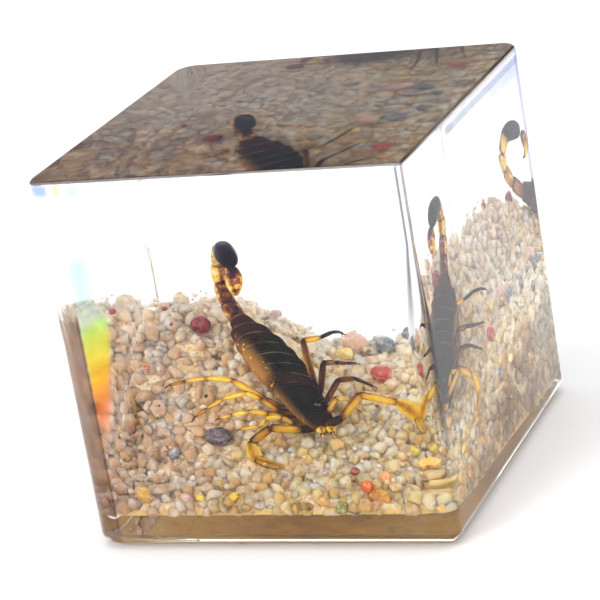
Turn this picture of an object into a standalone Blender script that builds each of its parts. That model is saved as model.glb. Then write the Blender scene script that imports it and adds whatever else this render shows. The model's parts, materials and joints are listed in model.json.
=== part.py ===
"""A scorpion on a bank of gravel, cast in a clear resin block.

The block was poured in two layers. The base layer set first, lower at the back than
at the front. Gravel was banked on it towards the back left corner, the scorpion was
laid on the gravel, and the second layer was poured over both. The second layer holds
a pocket that follows the gravel, the loose stones and the specimen.

The front face looks along -Y, +Z is up, and the origin is the middle of the base.
"""

import math

import bmesh
import bpy
from mathutils import Matrix, Vector, noise
from mathutils.bvhtree import BVHTree

MM = 0.001

# The block
WIDTH = 45 * MM
DEPTH = 48 * MM
HEIGHT = 45 * MM
CORNERS = ((1, -1), (1, 1), (-1, 1), (-1, -1))
CORNER_RADII_LOW = (2.2 * MM, 2.6 * MM, 2.9 * MM, 3.6 * MM)
CORNER_RADII_HIGH = (0.8 * MM, 2.4 * MM, 2.7 * MM, 2.6 * MM)
TAPER_FROM = 24 * MM
TAPER_TO = 36 * MM
CORNER_STEPS = 5
TOP_EDGE = 0.45 * MM
BOTTOM_EDGE_FRONT = 1.7 * MM
BOTTOM_EDGE_BACK = 0.7 * MM
EDGE_ANGLES = (90, 55, 25, 0)

# The layers, which part along a plane that falls towards the back
POUR_FRONT = 3.7 * MM
POUR_BACK = 1.8 * MM
GAP = 0.3 * MM
POCKET_WALL = 0.6 * MM
POCKET_CELLS = (14, 15)
POCKET_CORNER = 3.4 * MM
POCKET_CLEARANCE = 0.35 * MM
POCKET_SAMPLES = 12

# The gravel bank: (distance along Y, height of its surface) on its left and right
GRAVEL_WALL = POCKET_WALL + GAP
GRAVEL_CORNER = 3.1 * MM
GRAVEL_CELLS = (37, 40)
GRAVEL_SAMPLES = 4
BANK_LEFT = ((-23, 6.4), (-14, 7.2), (-7, 10.0), (0, 14.4), (7, 18.2), (13, 21.0), (23, 20.6))
BANK_RIGHT = ((-23, 6.2), (-14, 7.0), (-7, 8.7), (0, 10.9), (7, 12.9), (14, 14.1), (23, 14.6))
SHOULDER_AT_MIDDLE = -6.8 * MM
SHOULDER_LEAN = 0.3125
SHOULDER_WIDTH = 15 * MM

# Each stone of the gravel's surface is a dome, some of them heaved up
DOME_PITCH = 3.3 * MM
DOME_LIFT = 1.6 * MM
DOME_TOP = 0.35
DOME_FALL = 1.3
DOME_HEAVE = 0.5
HEAVE_PITCH = 1.7
LEAST_GRAVEL = 0.9 * MM

# The scorpion's trunk: its axis, and stations of (place from the head, half width,
# half depth), with a step where each plate of the back laps over the next
TRUNK_HEAD = Vector((4.7, -8.7, 11.0)) * MM
TRUNK_ARCH = Vector((-1.2, 0.0, 16.1)) * MM
TRUNK_END = Vector((-7.9, 7.8, 20.8)) * MM
CARAPACE = (
    (0.0, 1.25, 0.55),
    (0.5, 1.65, 1.0),
    (3.2, 2.05, 1.35),
    (6.3, 2.5, 1.5),
    (6.9, 2.35, 1.35),
)
PLATE_LENGTHS = (1.4, 1.7, 1.9, 2.1, 2.3, 2.4, 2.6)
PLATE_HALF_WIDTHS = (2.65, 2.9, 3.1, 3.2, 3.1, 2.8, 2.2)
PLATE_HALF_DEPTHS = (1.55, 1.75, 1.9, 1.95, 1.9, 1.7, 1.4)
PLATE_START = 0.15
PLATE_LAP = 0.9
TRUNK_TIP = (0.5, 1.3, 1.05)
TRUNK_SIDES = 12

# The tail: the joints between its five segments, the sting's bulb, and its point
TAIL_JOINTS = (
    (-7.7, 7.5, 20.6),
    (-9.4, 9.7, 22.5),
    (-10.2, 11.2, 24.7),
    (-10.2, 11.6, 27.2),
    (-9.0, 9.8, 29.3),
    (-6.9, 5.6, 28.3),
)
TAIL_RADII = (1.25, 1.2, 1.2, 1.25, 1.4)
TAIL_WAIST = 0.72
STING = (
    (-6.8, 5.2, 27.6, 0.8),
    (-6.7, 4.5, 26.7, 1.2),
    (-6.7, 4.3, 25.5, 1.0),
    (-6.9, 5.0, 24.7, 0.35),
    (-7.1, 5.9, 24.5, 0.12),
)
TAIL_SIDES = 10

# A limb segment starts narrow at its joint, is full near its start and then tapers
JOINT_AT = 0.02
FULL_AT = 0.3
TAPER_AT = 0.8
FULL_SHARE = 0.35
TAPER_SHARE = 0.4
TIP_SHARE = 0.6

# Limbs: joints from the body outwards, each (x, y, z, radius)
LEG_SIDES = 6
LEG_WAIST = 0.7
LEGS = {
    "leg_left_4": (
        (1.4, -5.0, 12.6, 0.6), (-0.9, -6.0, 12.9, 0.5), (-2.5, -5.5, 13.8, 0.5),
        (-7.0, -3.0, 15.8, 0.45), (-10.5, -1.9, 15.9, 0.32), (-15.8, -1.0, 14.9, 0.22),
    ),
    "leg_left_3": (
        (2.0, -6.0, 12.0, 0.55), (-0.7, -7.0, 12.7, 0.45), (-2.9, -6.4, 14.2, 0.42),
        (-4.9, -5.6, 14.8, 0.38), (-8.0, -5.1, 14.0, 0.3), (-11.9, -5.6, 11.9, 0.2),
    ),
    "leg_left_2": (
        (2.6, -7.0, 11.6, 0.5), (0.2, -8.0, 12.1, 0.42), (-1.9, -8.0, 12.8, 0.4),
        (-4.4, -7.5, 12.9, 0.32), (-8.6, -6.3, 11.9, 0.2),
    ),
    "leg_left_1": (
        (3.2, -7.8, 11.2, 0.48), (1.2, -8.9, 11.6, 0.4), (0.0, -9.2, 12.6, 0.38),
        (-2.0, -9.0, 12.4, 0.34), (-3.0, -8.8, 11.4, 0.26), (-5.7, -8.2, 10.9, 0.18),
    ),
    "leg_right_4": (
        (1.2, -3.4, 13.4, 0.6), (2.9, -1.8, 14.2, 0.5), (0.9, 3.5, 18.9, 0.45),
        (2.8, 5.0, 18.9, 0.3), (3.6, 8.0, 18.8, 0.26), (3.9, 12.0, 17.6, 0.18),
    ),
    "leg_right_3": (
        (1.9, -4.6, 12.9, 0.55), (3.7, -3.0, 13.9, 0.45), (3.8, 0.4, 16.8, 0.42),
        (4.5, 3.0, 16.2, 0.32), (5.9, 8.0, 14.8, 0.18),
    ),
    "leg_right_2": (
        (2.8, -5.8, 12.2, 0.5), (4.6, -4.4, 13.2, 0.42), (5.9, -2.0, 15.2, 0.4),
        (7.2, 1.0, 14.6, 0.32), (8.5, 4.0, 12.9, 0.18),
    ),
    "leg_right_1": (
        (3.4, -7.0, 11.6, 0.48), (5.1, -6.4, 12.4, 0.4), (6.2, -5.7, 13.9, 0.38),
        (7.1, -3.6, 13.2, 0.28), (7.8, -2.4, 11.6, 0.18),
    ),
}
ARM_SIDES = 8
ARMS = {
    "arm_left": (
        (3.8, -8.3, 11.0, 0.6), (2.4, -9.9, 11.1, 0.55), (-1.1, -10.9, 11.7, 0.6),
        (-3.6, -11.7, 10.1, 0.55),
    ),
    "arm_right": (
        (4.4, -8.2, 11.0, 0.6), (7.2, -8.9, 12.1, 0.55), (8.9, -4.8, 14.0, 0.55),
        (13.2, -4.0, 12.7, 0.5),
    ),
}
# Each claw: the hand from the wrist, then the two fingers
HANDS = {
    "hand_left": (
        (-3.7, -11.7, 10.2, 0.45), (-3.65, -11.9, 9.5, 0.9), (-3.4, -12.1, 8.7, 1.02),
        (-3.0, -12.5, 8.1, 0.6),
    ),
    "hand_right": (
        (13.0, -4.0, 12.8, 0.45), (13.9, -4.1, 12.4, 0.95), (15.0, -4.4, 11.7, 1.1),
        (16.0, -4.9, 10.9, 0.6),
    ),
}
FINGERS = {
    "finger_left_inner": (
        (-3.1, -12.3, 8.4, 0.45), (-2.1, -12.9, 8.2, 0.3), (-1.0, -13.4, 7.95, 0.27),
        (0.7, -14.0, 7.8, 0.12),
    ),
    "finger_left_outer": (
        (-3.3, -12.5, 8.2, 0.4), (-2.7, -12.9, 7.8, 0.3), (-1.2, -13.6, 7.4, 0.27),
        (0.6, -14.2, 7.5, 0.12),
    ),
    "finger_right_inner": (
        (15.7, -4.7, 11.2, 0.45), (16.6, -5.4, 10.4, 0.3), (17.2, -6.3, 9.9, 0.27),
        (17.3, -7.4, 9.6, 0.12),
    ),
    "finger_right_outer": (
        (15.3, -5.0, 11.0, 0.4), (15.7, -5.8, 10.3, 0.3), (16.3, -6.8, 9.7, 0.27),
        (17.1, -7.6, 9.5, 0.12),
    ),
}
JAWS = {
    "jaw_left": ((4.0, -8.0, 11.2, 0.55), (4.6, -9.3, 10.9, 0.62), (4.9, -9.9, 10.5, 0.3)),
    "jaw_right": ((5.0, -7.6, 11.2, 0.55), (5.7, -8.7, 10.9, 0.62), (6.0, -9.3, 10.5, 0.3)),
}
EYE_MOUND = ((3.2, -6.5, 13.1, 0.45), (3.15, -6.6, 13.9, 0.32))

# Coloured stones on the gravel: centre, half sizes, colour
STONES = {
    "dark_red_stone": ((-13.2, 9.0, 20.1), (1.3, 1.1, 1.1), (0.13, 0.012, 0.03)),
    "grey_pebble": ((-8.6, -8.0, 10.0), (1.8, 1.3, 1.1), (0.07, 0.055, 0.08)),
    "ochre_pebble": ((13.5, -21.4, 5.35), (1.3, 1.15, 1.35), (0.6, 0.28, 0.05)),
    "orange_chip": ((12.0, -20.9, 6.9), (0.8, 0.7, 0.7), (0.7, 0.16, 0.03)),
    "salmon_stone": ((8.9, 7.6, 13.5), (1.3, 1.1, 1.0), (0.55, 0.16, 0.12)),
    "blue_grey_stone": ((7.6, 17.6, 14.6), (1.2, 1.0, 1.1), (0.2, 0.23, 0.28)),
}
STONE_WEAR = 0.16
WEAR_PITCH = 0.6

RESIN_COLOUR = (0.97, 0.98, 1.0)
GRAVEL_COLOUR = (0.56, 0.47, 0.36)
SCORPION_COLOUR = (0.09, 0.045, 0.012)
RESIN_ROUGHNESS = 0.03
GRAVEL_ROUGHNESS = 0.5
SCORPION_ROUGHNESS = 0.3
STONE_ROUGHNESS = 0.14
RESIN_IOR = 1.5
SHARP_FROM = 35


def clear_scene():
    for item in list(bpy.data.objects):
        bpy.data.objects.remove(item, do_unlink=True)


def make_material(name, colour, roughness, transmission=0.0):
    material = bpy.data.materials.new(name)
    material.use_nodes = True
    shader = material.node_tree.nodes["Principled BSDF"]
    shader.inputs["Base Color"].default_value = (*colour, 1.0)
    shader.inputs["Roughness"].default_value = roughness
    shader.inputs["Metallic"].default_value = 0.0
    shader.inputs["Transmission Weight"].default_value = transmission
    shader.inputs["IOR"].default_value = RESIN_IOR
    return material


def add_object(name, bm, material):
    """Closes the bmesh into a named object with its faces pointing out."""
    bmesh.ops.recalc_face_normals(bm, faces=bm.faces)
    mesh = bpy.data.meshes.new(name)
    bm.to_mesh(mesh)
    bm.free()
    mesh.materials.append(material)
    mesh.shade_smooth()
    mesh.set_sharp_from_angle(angle=math.radians(SHARP_FROM))
    item = bpy.data.objects.new(name, mesh)
    bpy.context.scene.collection.objects.link(item)
    return item


def helpers_of(name, helpers):
    """A collection of helper solids, which are left out of the model itself."""
    collection = bpy.data.collections.new(name)
    bpy.context.scene.collection.children.link(collection)
    for helper in helpers:
        bpy.context.scene.collection.objects.unlink(helper)
        collection.objects.link(helper)
        helper.hide_render = True
        helper.display_type = "WIRE"
    return collection


def add_boolean(item, operation, collection):
    modifier = item.modifiers.new(operation.title(), "BOOLEAN")
    modifier.operation = operation
    modifier.solver = "EXACT"
    modifier.operand_type = "COLLECTION"
    modifier.collection = collection


# ---- the block ------------------------------------------------------------------


def ramp(value, start, end):
    return min(1.0, max(0.0, (value - start) / (end - start)))


def mix(first, second, share):
    return first + (second - first) * share


def pour_height(y):
    """Height of the base layer's top, which falls towards the back."""
    return mix(POUR_FRONT, POUR_BACK, (y + DEPTH / 2) / DEPTH)


def outline(z):
    """Points of the block's plan at a height, each with the direction that it faces."""
    points = []
    for index, (side_x, side_y) in enumerate(CORNERS):
        share = ramp(z, TAPER_FROM, TAPER_TO)
        radius = mix(CORNER_RADII_LOW[index], CORNER_RADII_HIGH[index], share)
        centre = Vector((side_x * (WIDTH / 2 - radius), side_y * (DEPTH / 2 - radius)))
        for step in range(CORNER_STEPS + 1):
            angle = math.radians(90) * (index - 1 + step / CORNER_STEPS)
            facing = Vector((math.cos(angle), math.sin(angle)))
            points.append((centre + radius * facing, facing))
    return points


def ring_edges(bm, places):
    """A closed loop of edges through the places."""
    verts = [bm.verts.new(place) for place in places]
    return [bm.edges.new((verts[i - 1], verts[i])) for i in range(len(verts))]


def block_rings():
    """The block's sections from its rounded lower edge to its bevelled upper one."""
    rings = []
    for angle in map(math.radians, EDGE_ANGLES):
        places = []
        for point, facing in outline(0.0):
            edge = mix(BOTTOM_EDGE_FRONT, BOTTOM_EDGE_BACK, (point.y + DEPTH / 2) / DEPTH)
            place = point - facing * edge * (1 - math.cos(angle))
            places.append((place.x, place.y, edge * (1 - math.sin(angle))))
        rings.append(places)
    for z, inset in (
        (TAPER_FROM, 0.0),
        (TAPER_TO, 0.0),
        (HEIGHT - TOP_EDGE, 0.0),
        (HEIGHT, TOP_EDGE),
    ):
        inset_points = [point - facing * inset for point, facing in outline(z)]
        rings.append([(point.x, point.y, z) for point in inset_points])
    return rings


def block_bmesh():
    bm = bmesh.new()
    rings = [ring_edges(bm, places) for places in block_rings()]
    for lower, upper in zip(rings, rings[1:]):
        bmesh.ops.bridge_loops(bm, edges=lower + upper)
    bmesh.ops.contextual_create(bm, geom=rings[0])
    bmesh.ops.contextual_create(bm, geom=rings[-1])
    bmesh.ops.recalc_face_normals(bm, faces=bm.faces)
    return bm


def keep_side(bm, lift, keep_above):
    """Cuts the block along the pour plane, raised by lift, and closes the cut."""
    slope = Vector((0, DEPTH, POUR_BACK - POUR_FRONT))
    normal = Vector((1, 0, 0)).cross(slope).normalized()
    cut = bmesh.ops.bisect_plane(
        bm,
        geom=bm.verts[:] + bm.edges[:] + bm.faces[:],
        plane_co=(0, 0, pour_height(0) + lift),
        plane_no=normal,
        clear_inner=keep_above,
        clear_outer=not keep_above,
    )
    edges = [item for item in cut["geom_cut"] if isinstance(item, bmesh.types.BMEdge)]
    bmesh.ops.contextual_create(bm, geom=edges)


def make_base(material):
    bm = block_bmesh()
    keep_side(bm, 0.0, keep_above=False)
    return add_object("resin_base", bm, material)


def make_cover(material, pocket):
    bm = block_bmesh()
    keep_side(bm, GAP, keep_above=True)
    cover = add_object("resin_cover", bm, material)
    add_boolean(cover, "DIFFERENCE", helpers_of("pocket", [pocket]))
    return cover


# ---- beds with a surface of their own -------------------------------------------


def round_corner(x, y, half_x, half_y, radius):
    """Moves a point of a rectangle so that the rectangle's corners become round."""
    over_x = abs(x) - (half_x - radius)
    over_y = abs(y) - (half_y - radius)
    if over_x <= 0 or over_y <= 0:
        return x, y
    pull = max(over_x, over_y) / math.hypot(over_x, over_y)
    near_x = math.copysign(half_x - radius + over_x * pull, x)
    near_y = math.copysign(half_y - radius + over_y * pull, y)
    return near_x, near_y


def bed_bmesh(cells, margin, corner, top_at, bottom_at):
    """A solid with a shaped top, straight sides and a flat underside."""
    half_x = WIDTH / 2 - margin
    half_y = DEPTH / 2 - margin
    bm = bmesh.new()
    bmesh.ops.create_grid(bm, x_segments=cells[0], y_segments=cells[1], size=1.0)
    for vert in bm.verts:
        x, y = round_corner(vert.co.x * half_x, vert.co.y * half_y, half_x, half_y, corner)
        vert.co = (x, y, top_at(x, y))
    rim = [edge for edge in bm.edges if edge.is_boundary]
    sides = bmesh.ops.extrude_edge_only(bm, edges=rim)["geom"]
    for vert in (item for item in sides if isinstance(item, bmesh.types.BMVert)):
        vert.co.z = bottom_at(vert.co.y)
    foot = [edge for edge in bm.edges if edge.is_boundary]
    bmesh.ops.contextual_create(bm, geom=foot)
    return bm


# ---- gravel and stones ----------------------------------------------------------


def profile_height(profile, y):
    """Height of a bank profile, given in millimetres, at a distance along Y."""
    at = y / MM
    for (start, low), (end, high) in zip(profile, profile[1:]):
        if at <= end:
            return mix(low, high, ramp(at, start, end)) * MM
    return profile[-1][1] * MM


def bank_height(x, y):
    """The bank is high at the back left, and falls over a shoulder to the right."""
    start = SHOULDER_AT_MIDDLE - SHOULDER_LEAN * y
    share = ramp(x, start, start + SHOULDER_WIDTH)
    share = share * share * (3 - 2 * share)
    return mix(profile_height(BANK_LEFT, y), profile_height(BANK_RIGHT, y), share)


def gravel_height(x, y):
    """The bank with a dome on it for each stone of its surface."""
    distances, points = noise.voronoi(Vector((x, y, 0)) / DOME_PITCH)
    dome = DOME_TOP - DOME_FALL * distances[0] ** 2
    heave = DOME_HEAVE * noise.noise(points[0] * HEAVE_PITCH)
    return bank_height(x, y) + DOME_LIFT * (dome + heave)


def underside_of(tree, x, y):
    """The lowest surface over a spot of the gravel, or else the block's top."""
    hit = tree.ray_cast(Vector((x, y, 0)), Vector((0, 0, 1)))[0]
    return hit.z if hit else HEIGHT


def spots_round(x, y, reach, samples):
    """Spots in a square round a point, which cover the faces that meet there."""
    steps = [reach * (2 * i / samples - 1) for i in range(samples + 1)]
    return [(x + across, y + along) for across in steps for along in steps]


def make_gravel(material, specimen_tree, seats):
    reach = DEPTH / GRAVEL_CELLS[1]

    def top_at(x, y):
        spots = spots_round(x, y, reach, GRAVEL_SAMPLES)
        free = min(underside_of(specimen_tree, *spot) for spot in spots)
        return max(min(gravel_height(x, y), free - GAP), pour_height(y) + LEAST_GRAVEL)

    bm = bed_bmesh(
        GRAVEL_CELLS, GRAVEL_WALL, GRAVEL_CORNER, top_at, lambda y: pour_height(y) + GAP
    )
    gravel = add_object("gravel_bed", bm, material)
    add_boolean(gravel, "DIFFERENCE", helpers_of("stone_seats", seats))
    return gravel


def stone_bmesh(centre, half_sizes, growth):
    """A worn stone with a few flats, grown evenly where its seat is cut."""
    bm = bmesh.new()
    bmesh.ops.create_icosphere(bm, subdivisions=2, radius=1.0)
    for vert in bm.verts:
        wear = 1 + STONE_WEAR * noise.noise(vert.co / WEAR_PITCH + Vector(centre))
        sizes = [half * MM * wear + growth for half in half_sizes]
        vert.co = [m * MM + part * size for m, part, size in zip(centre, vert.co, sizes)]
    return bm


def make_stones():
    stones = []
    seats = []
    for name, (centre, half_sizes, colour) in STONES.items():
        material = make_material(name, colour, STONE_ROUGHNESS)
        stones.append(add_object(name, stone_bmesh(centre, half_sizes, 0.0), material))
        seats.append(add_object(name + "_seat", stone_bmesh(centre, half_sizes, GAP), material))
    return stones, seats


# ---- the scorpion ---------------------------------------------------------------


def section_matrix(place, along, half_width, half_depth):
    """Turns a unit circle into a section across a limb, flat side to the back."""
    forward = along.normalized()
    across = forward.cross(Vector((0, 0, 1)))
    if across.length < 0.2:
        across = forward.cross(Vector((0.6, -0.8, 0)))
    across.normalize()
    upward = across.cross(forward)
    turned = Matrix((across * half_width, upward * half_depth, forward)).transposed()
    return Matrix.Translation(place) @ turned.to_4x4()


def loft_bmesh(stations, sides):
    """A closed solid through stations of (place, half width, half depth)."""
    bm = bmesh.new()
    rings = []
    last = len(stations) - 1
    for index, (place, half_width, half_depth) in enumerate(stations):
        along = stations[min(index + 1, last)][0] - stations[max(index - 1, 0)][0]
        circle = bmesh.ops.create_circle(
            bm,
            cap_ends=index in (0, last),
            segments=sides,
            radius=1.0,
            matrix=section_matrix(place, along, half_width, half_depth),
        )
        rings.append(list({edge for vert in circle["verts"] for edge in vert.link_edges}))
    for lower, upper in zip(rings, rings[1:]):
        bmesh.ops.bridge_loops(bm, edges=lower + upper)
    return bm


def trunk_stations():
    """The carapace, and the plates of the back, each flared over the next."""
    sizes = list(CARAPACE)
    place = CARAPACE[-1][0]
    for length, wide, deep in zip(PLATE_LENGTHS, PLATE_HALF_WIDTHS, PLATE_HALF_DEPTHS):
        sizes.append((place + PLATE_START, wide * PLATE_LAP, deep * PLATE_LAP))
        sizes.append((place + length, wide, deep))
        place += length
    length = place + TRUNK_TIP[0]
    sizes.append((length, *TRUNK_TIP[1:]))
    stations = []
    for along, wide, deep in sizes:
        share = along / length
        head_side = TRUNK_HEAD.lerp(TRUNK_ARCH, share)
        tail_side = TRUNK_ARCH.lerp(TRUNK_END, share)
        stations.append((head_side.lerp(tail_side, share), wide * MM, deep * MM))
    return stations


def waisted(start, end, radius_start, radius_end, waist):
    """Stations of one limb segment: narrow at its joints, full between them."""
    full = mix(radius_start, radius_end, FULL_SHARE)
    return (
        (start.lerp(end, JOINT_AT), radius_start * waist),
        (start.lerp(end, FULL_AT), full),
        (start.lerp(end, TAPER_AT), mix(full, radius_end, TAPER_SHARE)),
    )


def limb_stations(joints, waist):
    stations = []
    for first, second in zip(joints, joints[1:]):
        start = Vector(first[:3]) * MM
        end = Vector(second[:3]) * MM
        stations += waisted(start, end, first[3] * MM, second[3] * MM, waist)
    stations.append((Vector(joints[-1][:3]) * MM, joints[-1][3] * MM * TIP_SHARE))
    return [(place, radius, radius) for place, radius in stations]


def tail_stations():
    joints = [(*joint, radius) for joint, radius in zip(TAIL_JOINTS, (*TAIL_RADII, 1.0))]
    stations = limb_stations(joints, TAIL_WAIST)[:-1]
    return stations + smooth_stations(STING)


def smooth_stations(points):
    """Stations straight from a short list of (x, y, z, radius)."""
    return [(Vector(point[:3]) * MM, point[3] * MM, point[3] * MM) for point in points]


def make_scorpion(material):
    """The whole specimen: limbs, claws, jaws, eye mound and tail fused to its trunk."""
    trunk = add_object("scorpion", loft_bmesh(trunk_stations(), TRUNK_SIDES), material)
    pieces = [add_object("tail", loft_bmesh(tail_stations(), TAIL_SIDES), material)]
    for name, joints in {**LEGS, **ARMS}.items():
        sides = ARM_SIDES if name in ARMS else LEG_SIDES
        limb = loft_bmesh(limb_stations(joints, LEG_WAIST), sides)
        pieces.append(add_object(name, limb, material))
    for name, points in {**HANDS, **FINGERS, **JAWS, "eye_mound": EYE_MOUND}.items():
        sides = ARM_SIDES if name in HANDS else LEG_SIDES
        pieces.append(add_object(name, loft_bmesh(smooth_stations(points), sides), material))
    add_boolean(trunk, "UNION", helpers_of("limbs", pieces))
    return trunk


# ---- the pocket -----------------------------------------------------------------


def tree_of(item):
    """What the finished shape of an object is measured with."""
    bpy.context.view_layer.update()
    return BVHTree.FromObject(item, bpy.context.evaluated_depsgraph_get())


def make_pocket(material, trees):
    """The room for gravel, stones and specimen: a sheet laid over them from above."""
    reach = DEPTH / POCKET_CELLS[1]

    def top_at(x, y):
        highest = pour_height(y) + GAP
        for spot in spots_round(x, y, reach, POCKET_SAMPLES):
            for tree in trees:
                hit = tree.ray_cast(Vector((*spot, HEIGHT)), Vector((0, 0, -1)))[0]
                if hit:
                    highest = max(highest, hit.z)
        return highest + POCKET_CLEARANCE

    bm = bed_bmesh(POCKET_CELLS, POCKET_WALL, POCKET_CORNER, top_at, lambda y: POUR_BACK - 2 * GAP)
    return add_object("pocket_room", bm, material)


def main():
    clear_scene()
    resin = make_material("clear_resin", RESIN_COLOUR, RESIN_ROUGHNESS, transmission=1.0)
    gravel_look = make_material("gravel", GRAVEL_COLOUR, GRAVEL_ROUGHNESS)
    shell = make_material("scorpion_shell", SCORPION_COLOUR, SCORPION_ROUGHNESS)
    stones, seats = make_stones()
    scorpion = make_scorpion(shell)
    specimen_tree = tree_of(scorpion)
    gravel = make_gravel(gravel_look, specimen_tree, seats)
    trees = [tree_of(item) for item in (gravel, scorpion, *stones)]
    pocket = make_pocket(resin, trees)
    make_base(resin)
    make_cover(resin, pocket)


main()
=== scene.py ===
"""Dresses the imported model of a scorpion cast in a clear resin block.

The frame's plain solids give way to a polished block, a bank of crushed quartz, coloured
stones and a jointed scorpion. Lengths are in metres: +Z is up, the front face looks
along -Y, and the origin is the middle of the base.
"""

import json
import math
import random
from itertools import product

import bmesh
import bpy
import numpy as np
from bpy.props import FloatProperty, FloatVectorProperty, IntProperty, PointerProperty
from mathutils import Euler, Matrix, Quaternion, Vector, noise
from mathutils.bvhtree import BVHTree

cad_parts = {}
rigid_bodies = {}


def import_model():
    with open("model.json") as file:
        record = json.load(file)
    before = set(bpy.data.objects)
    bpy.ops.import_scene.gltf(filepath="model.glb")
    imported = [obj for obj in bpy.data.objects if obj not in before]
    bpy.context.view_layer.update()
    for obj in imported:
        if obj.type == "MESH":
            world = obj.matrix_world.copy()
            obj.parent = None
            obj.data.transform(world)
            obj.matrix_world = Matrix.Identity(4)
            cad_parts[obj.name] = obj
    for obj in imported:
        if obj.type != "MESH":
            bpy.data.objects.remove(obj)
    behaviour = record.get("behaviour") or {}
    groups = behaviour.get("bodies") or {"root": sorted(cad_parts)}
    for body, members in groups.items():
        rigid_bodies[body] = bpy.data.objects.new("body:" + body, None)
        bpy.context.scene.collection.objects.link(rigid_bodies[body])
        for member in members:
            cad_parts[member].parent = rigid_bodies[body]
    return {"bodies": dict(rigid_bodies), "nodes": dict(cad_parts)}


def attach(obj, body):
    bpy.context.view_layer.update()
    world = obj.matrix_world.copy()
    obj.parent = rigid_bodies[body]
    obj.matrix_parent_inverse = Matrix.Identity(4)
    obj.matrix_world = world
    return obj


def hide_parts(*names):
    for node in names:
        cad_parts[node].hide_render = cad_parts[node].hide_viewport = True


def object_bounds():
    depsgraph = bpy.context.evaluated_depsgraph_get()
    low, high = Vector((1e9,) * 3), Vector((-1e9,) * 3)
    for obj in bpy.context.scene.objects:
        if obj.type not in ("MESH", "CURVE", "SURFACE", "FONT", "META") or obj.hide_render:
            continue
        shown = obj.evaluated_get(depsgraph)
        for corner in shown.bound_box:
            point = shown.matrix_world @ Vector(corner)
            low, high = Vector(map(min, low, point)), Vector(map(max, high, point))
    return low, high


bl_info = {
    "name": "Scorpion in Resin Block",
    "version": (1, 0, 0),
    "blender": (4, 5, 0),
    "location": "3D View > Sidebar > Specimen",
    "description": "Dresses the packed model of a scorpion cast in a clear resin block",
    "category": "Object",
}

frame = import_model()
CAD_LOW, CAD_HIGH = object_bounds()

MM = 0.001
UPWARD = Vector((0, 0, 1))

# ---- sizes ----------------------------------------------------------------------

# The block, as the frame gives it
WIDTH = CAD_HIGH.x - CAD_LOW.x
DEPTH = CAD_HIGH.y - CAD_LOW.y
HEIGHT = CAD_HIGH.z
CORNERS = ((1, -1), (1, 1), (-1, 1), (-1, -1))
CORNER_RADII_LOW = (2.2 * MM, 2.6 * MM, 0.35 * MM, 3.6 * MM)
CORNER_RADII_HIGH = (0.8 * MM, 2.4 * MM, 2.7 * MM, 2.6 * MM)
TAPER_FROM = 25 * MM
TAPER_TO = 36 * MM
RING_HEIGHTS = (9 * MM, 13 * MM, 17 * MM, 21 * MM, 25 * MM, 29 * MM, 32 * MM, 36 * MM)
CORNER_STEPS = 14
# Painted shade of each of the 15 steps round a corner: how dark it is beside the gravel, and high
# up
NO_PAINTED_SHADE = (0,) * 15
BACK_RIGHT_PAINTED_SHADE = (0, 0.2, 1, 1, 1, 1, 0.2, *(0,) * 8)
CORNER_PAINTED_SHADE = (
    (
        (0, 0, 0.1, 0.2, 0.2, 0.1, 0.1, 0.1, 0.3, 0.8, 1, 1, 1, 0.8, 0.1),
        (0, 0.8, 1, 1, 0.3, 0, 0, 0, 0.3, 1, 1, 0.3, 0, 0, 0),
    ),
    (BACK_RIGHT_PAINTED_SHADE, BACK_RIGHT_PAINTED_SHADE),
    (NO_PAINTED_SHADE, NO_PAINTED_SHADE),
    ((0, 0, 0.3, 1, 1, 0.2, *(0,) * 9), NO_PAINTED_SHADE),
)
HIGH_FROM = 24 * MM
HIGH_TO = 30 * MM
# The front right corner's painted shade shows only above the gravel's foot
FRONT_RIGHT_FROM = 8 * MM
FRONT_RIGHT_TO = 15 * MM
TOP_EDGE = 0.45 * MM
TOP_EDGE_STEPS = 4
BOTTOM_EDGE_FRONT = 2.1 * MM
BOTTOM_EDGE_BACK = 0.8 * MM
# Painted shade of each step round the lower edge
BOTTOM_EDGE_PAINTED_SHADE = (0, 0.6, 1, 0.8, 0.2, 0, 0, 0.5, 0.3)
BOTTOM_EDGE_STEPS = 8

# The layers and the bank
POUR_FRONT = 4.0 * MM
POUR_BACK = 2.1 * MM
GRAVEL_WALL = 0.45 * MM
GRAVEL_CORNER = 3.4 * MM
BANK_LEFT = ((-23, 6.4), (-14, 7.2), (-7, 10.0), (0, 14.4), (7, 18.2), (13, 21.0), (23, 20.6))
BANK_RIGHT = ((-23, 6.2), (-14, 7.0), (-7, 8.7), (0, 10.9), (7, 12.9), (14, 14.1), (23, 14.6))
SHOULDER_AT_MIDDLE = -6.8 * MM
SHOULDER_LEAN = 0.3125
SHOULDER_WIDTH = 15 * MM

# The scorpion, with its joints where the frame's solid has them
TRUNK_HEAD = Vector((4.7, -8.7, 11.0)) * MM
TRUNK_ARCH = Vector((-1.2, 0.0, 16.1)) * MM
TRUNK_END = Vector((-7.9, 7.8, 20.8)) * MM
TRUNK_LENGTH = 21.8
CARAPACE_LENGTH = 6.9
PLATE_LENGTHS = (1.4, 1.7, 1.9, 2.1, 2.3, 2.4, 2.6)
PLATE_HALF_WIDTHS = (3.7, 3.95, 4.0, 3.95, 3.75, 3.3, 2.5)
PLATE_HALF_DEPTHS = (1.6, 1.85, 2.05, 2.15, 2.1, 1.9, 1.5)
TRUNK_END_WIDTH = 0.4
TRUNK_END_DEPTH = 0.9
TRUNK_OVERLAP = 0.5

# The tail's joints, each (x, y, z, radius, darkness of the segment after it)
TAIL_JOINTS = (
    (-7.5, 7.3, 20.3, 1.2, 0.42), (-9.4, 9.7, 22.5, 1.15, 0.24), (-10.2, 11.2, 24.7, 1.15, 0.08),
    (-10.2, 11.6, 27.2, 1.2, 0.14), (-9.0, 9.8, 29.3, 1.3),
)
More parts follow.
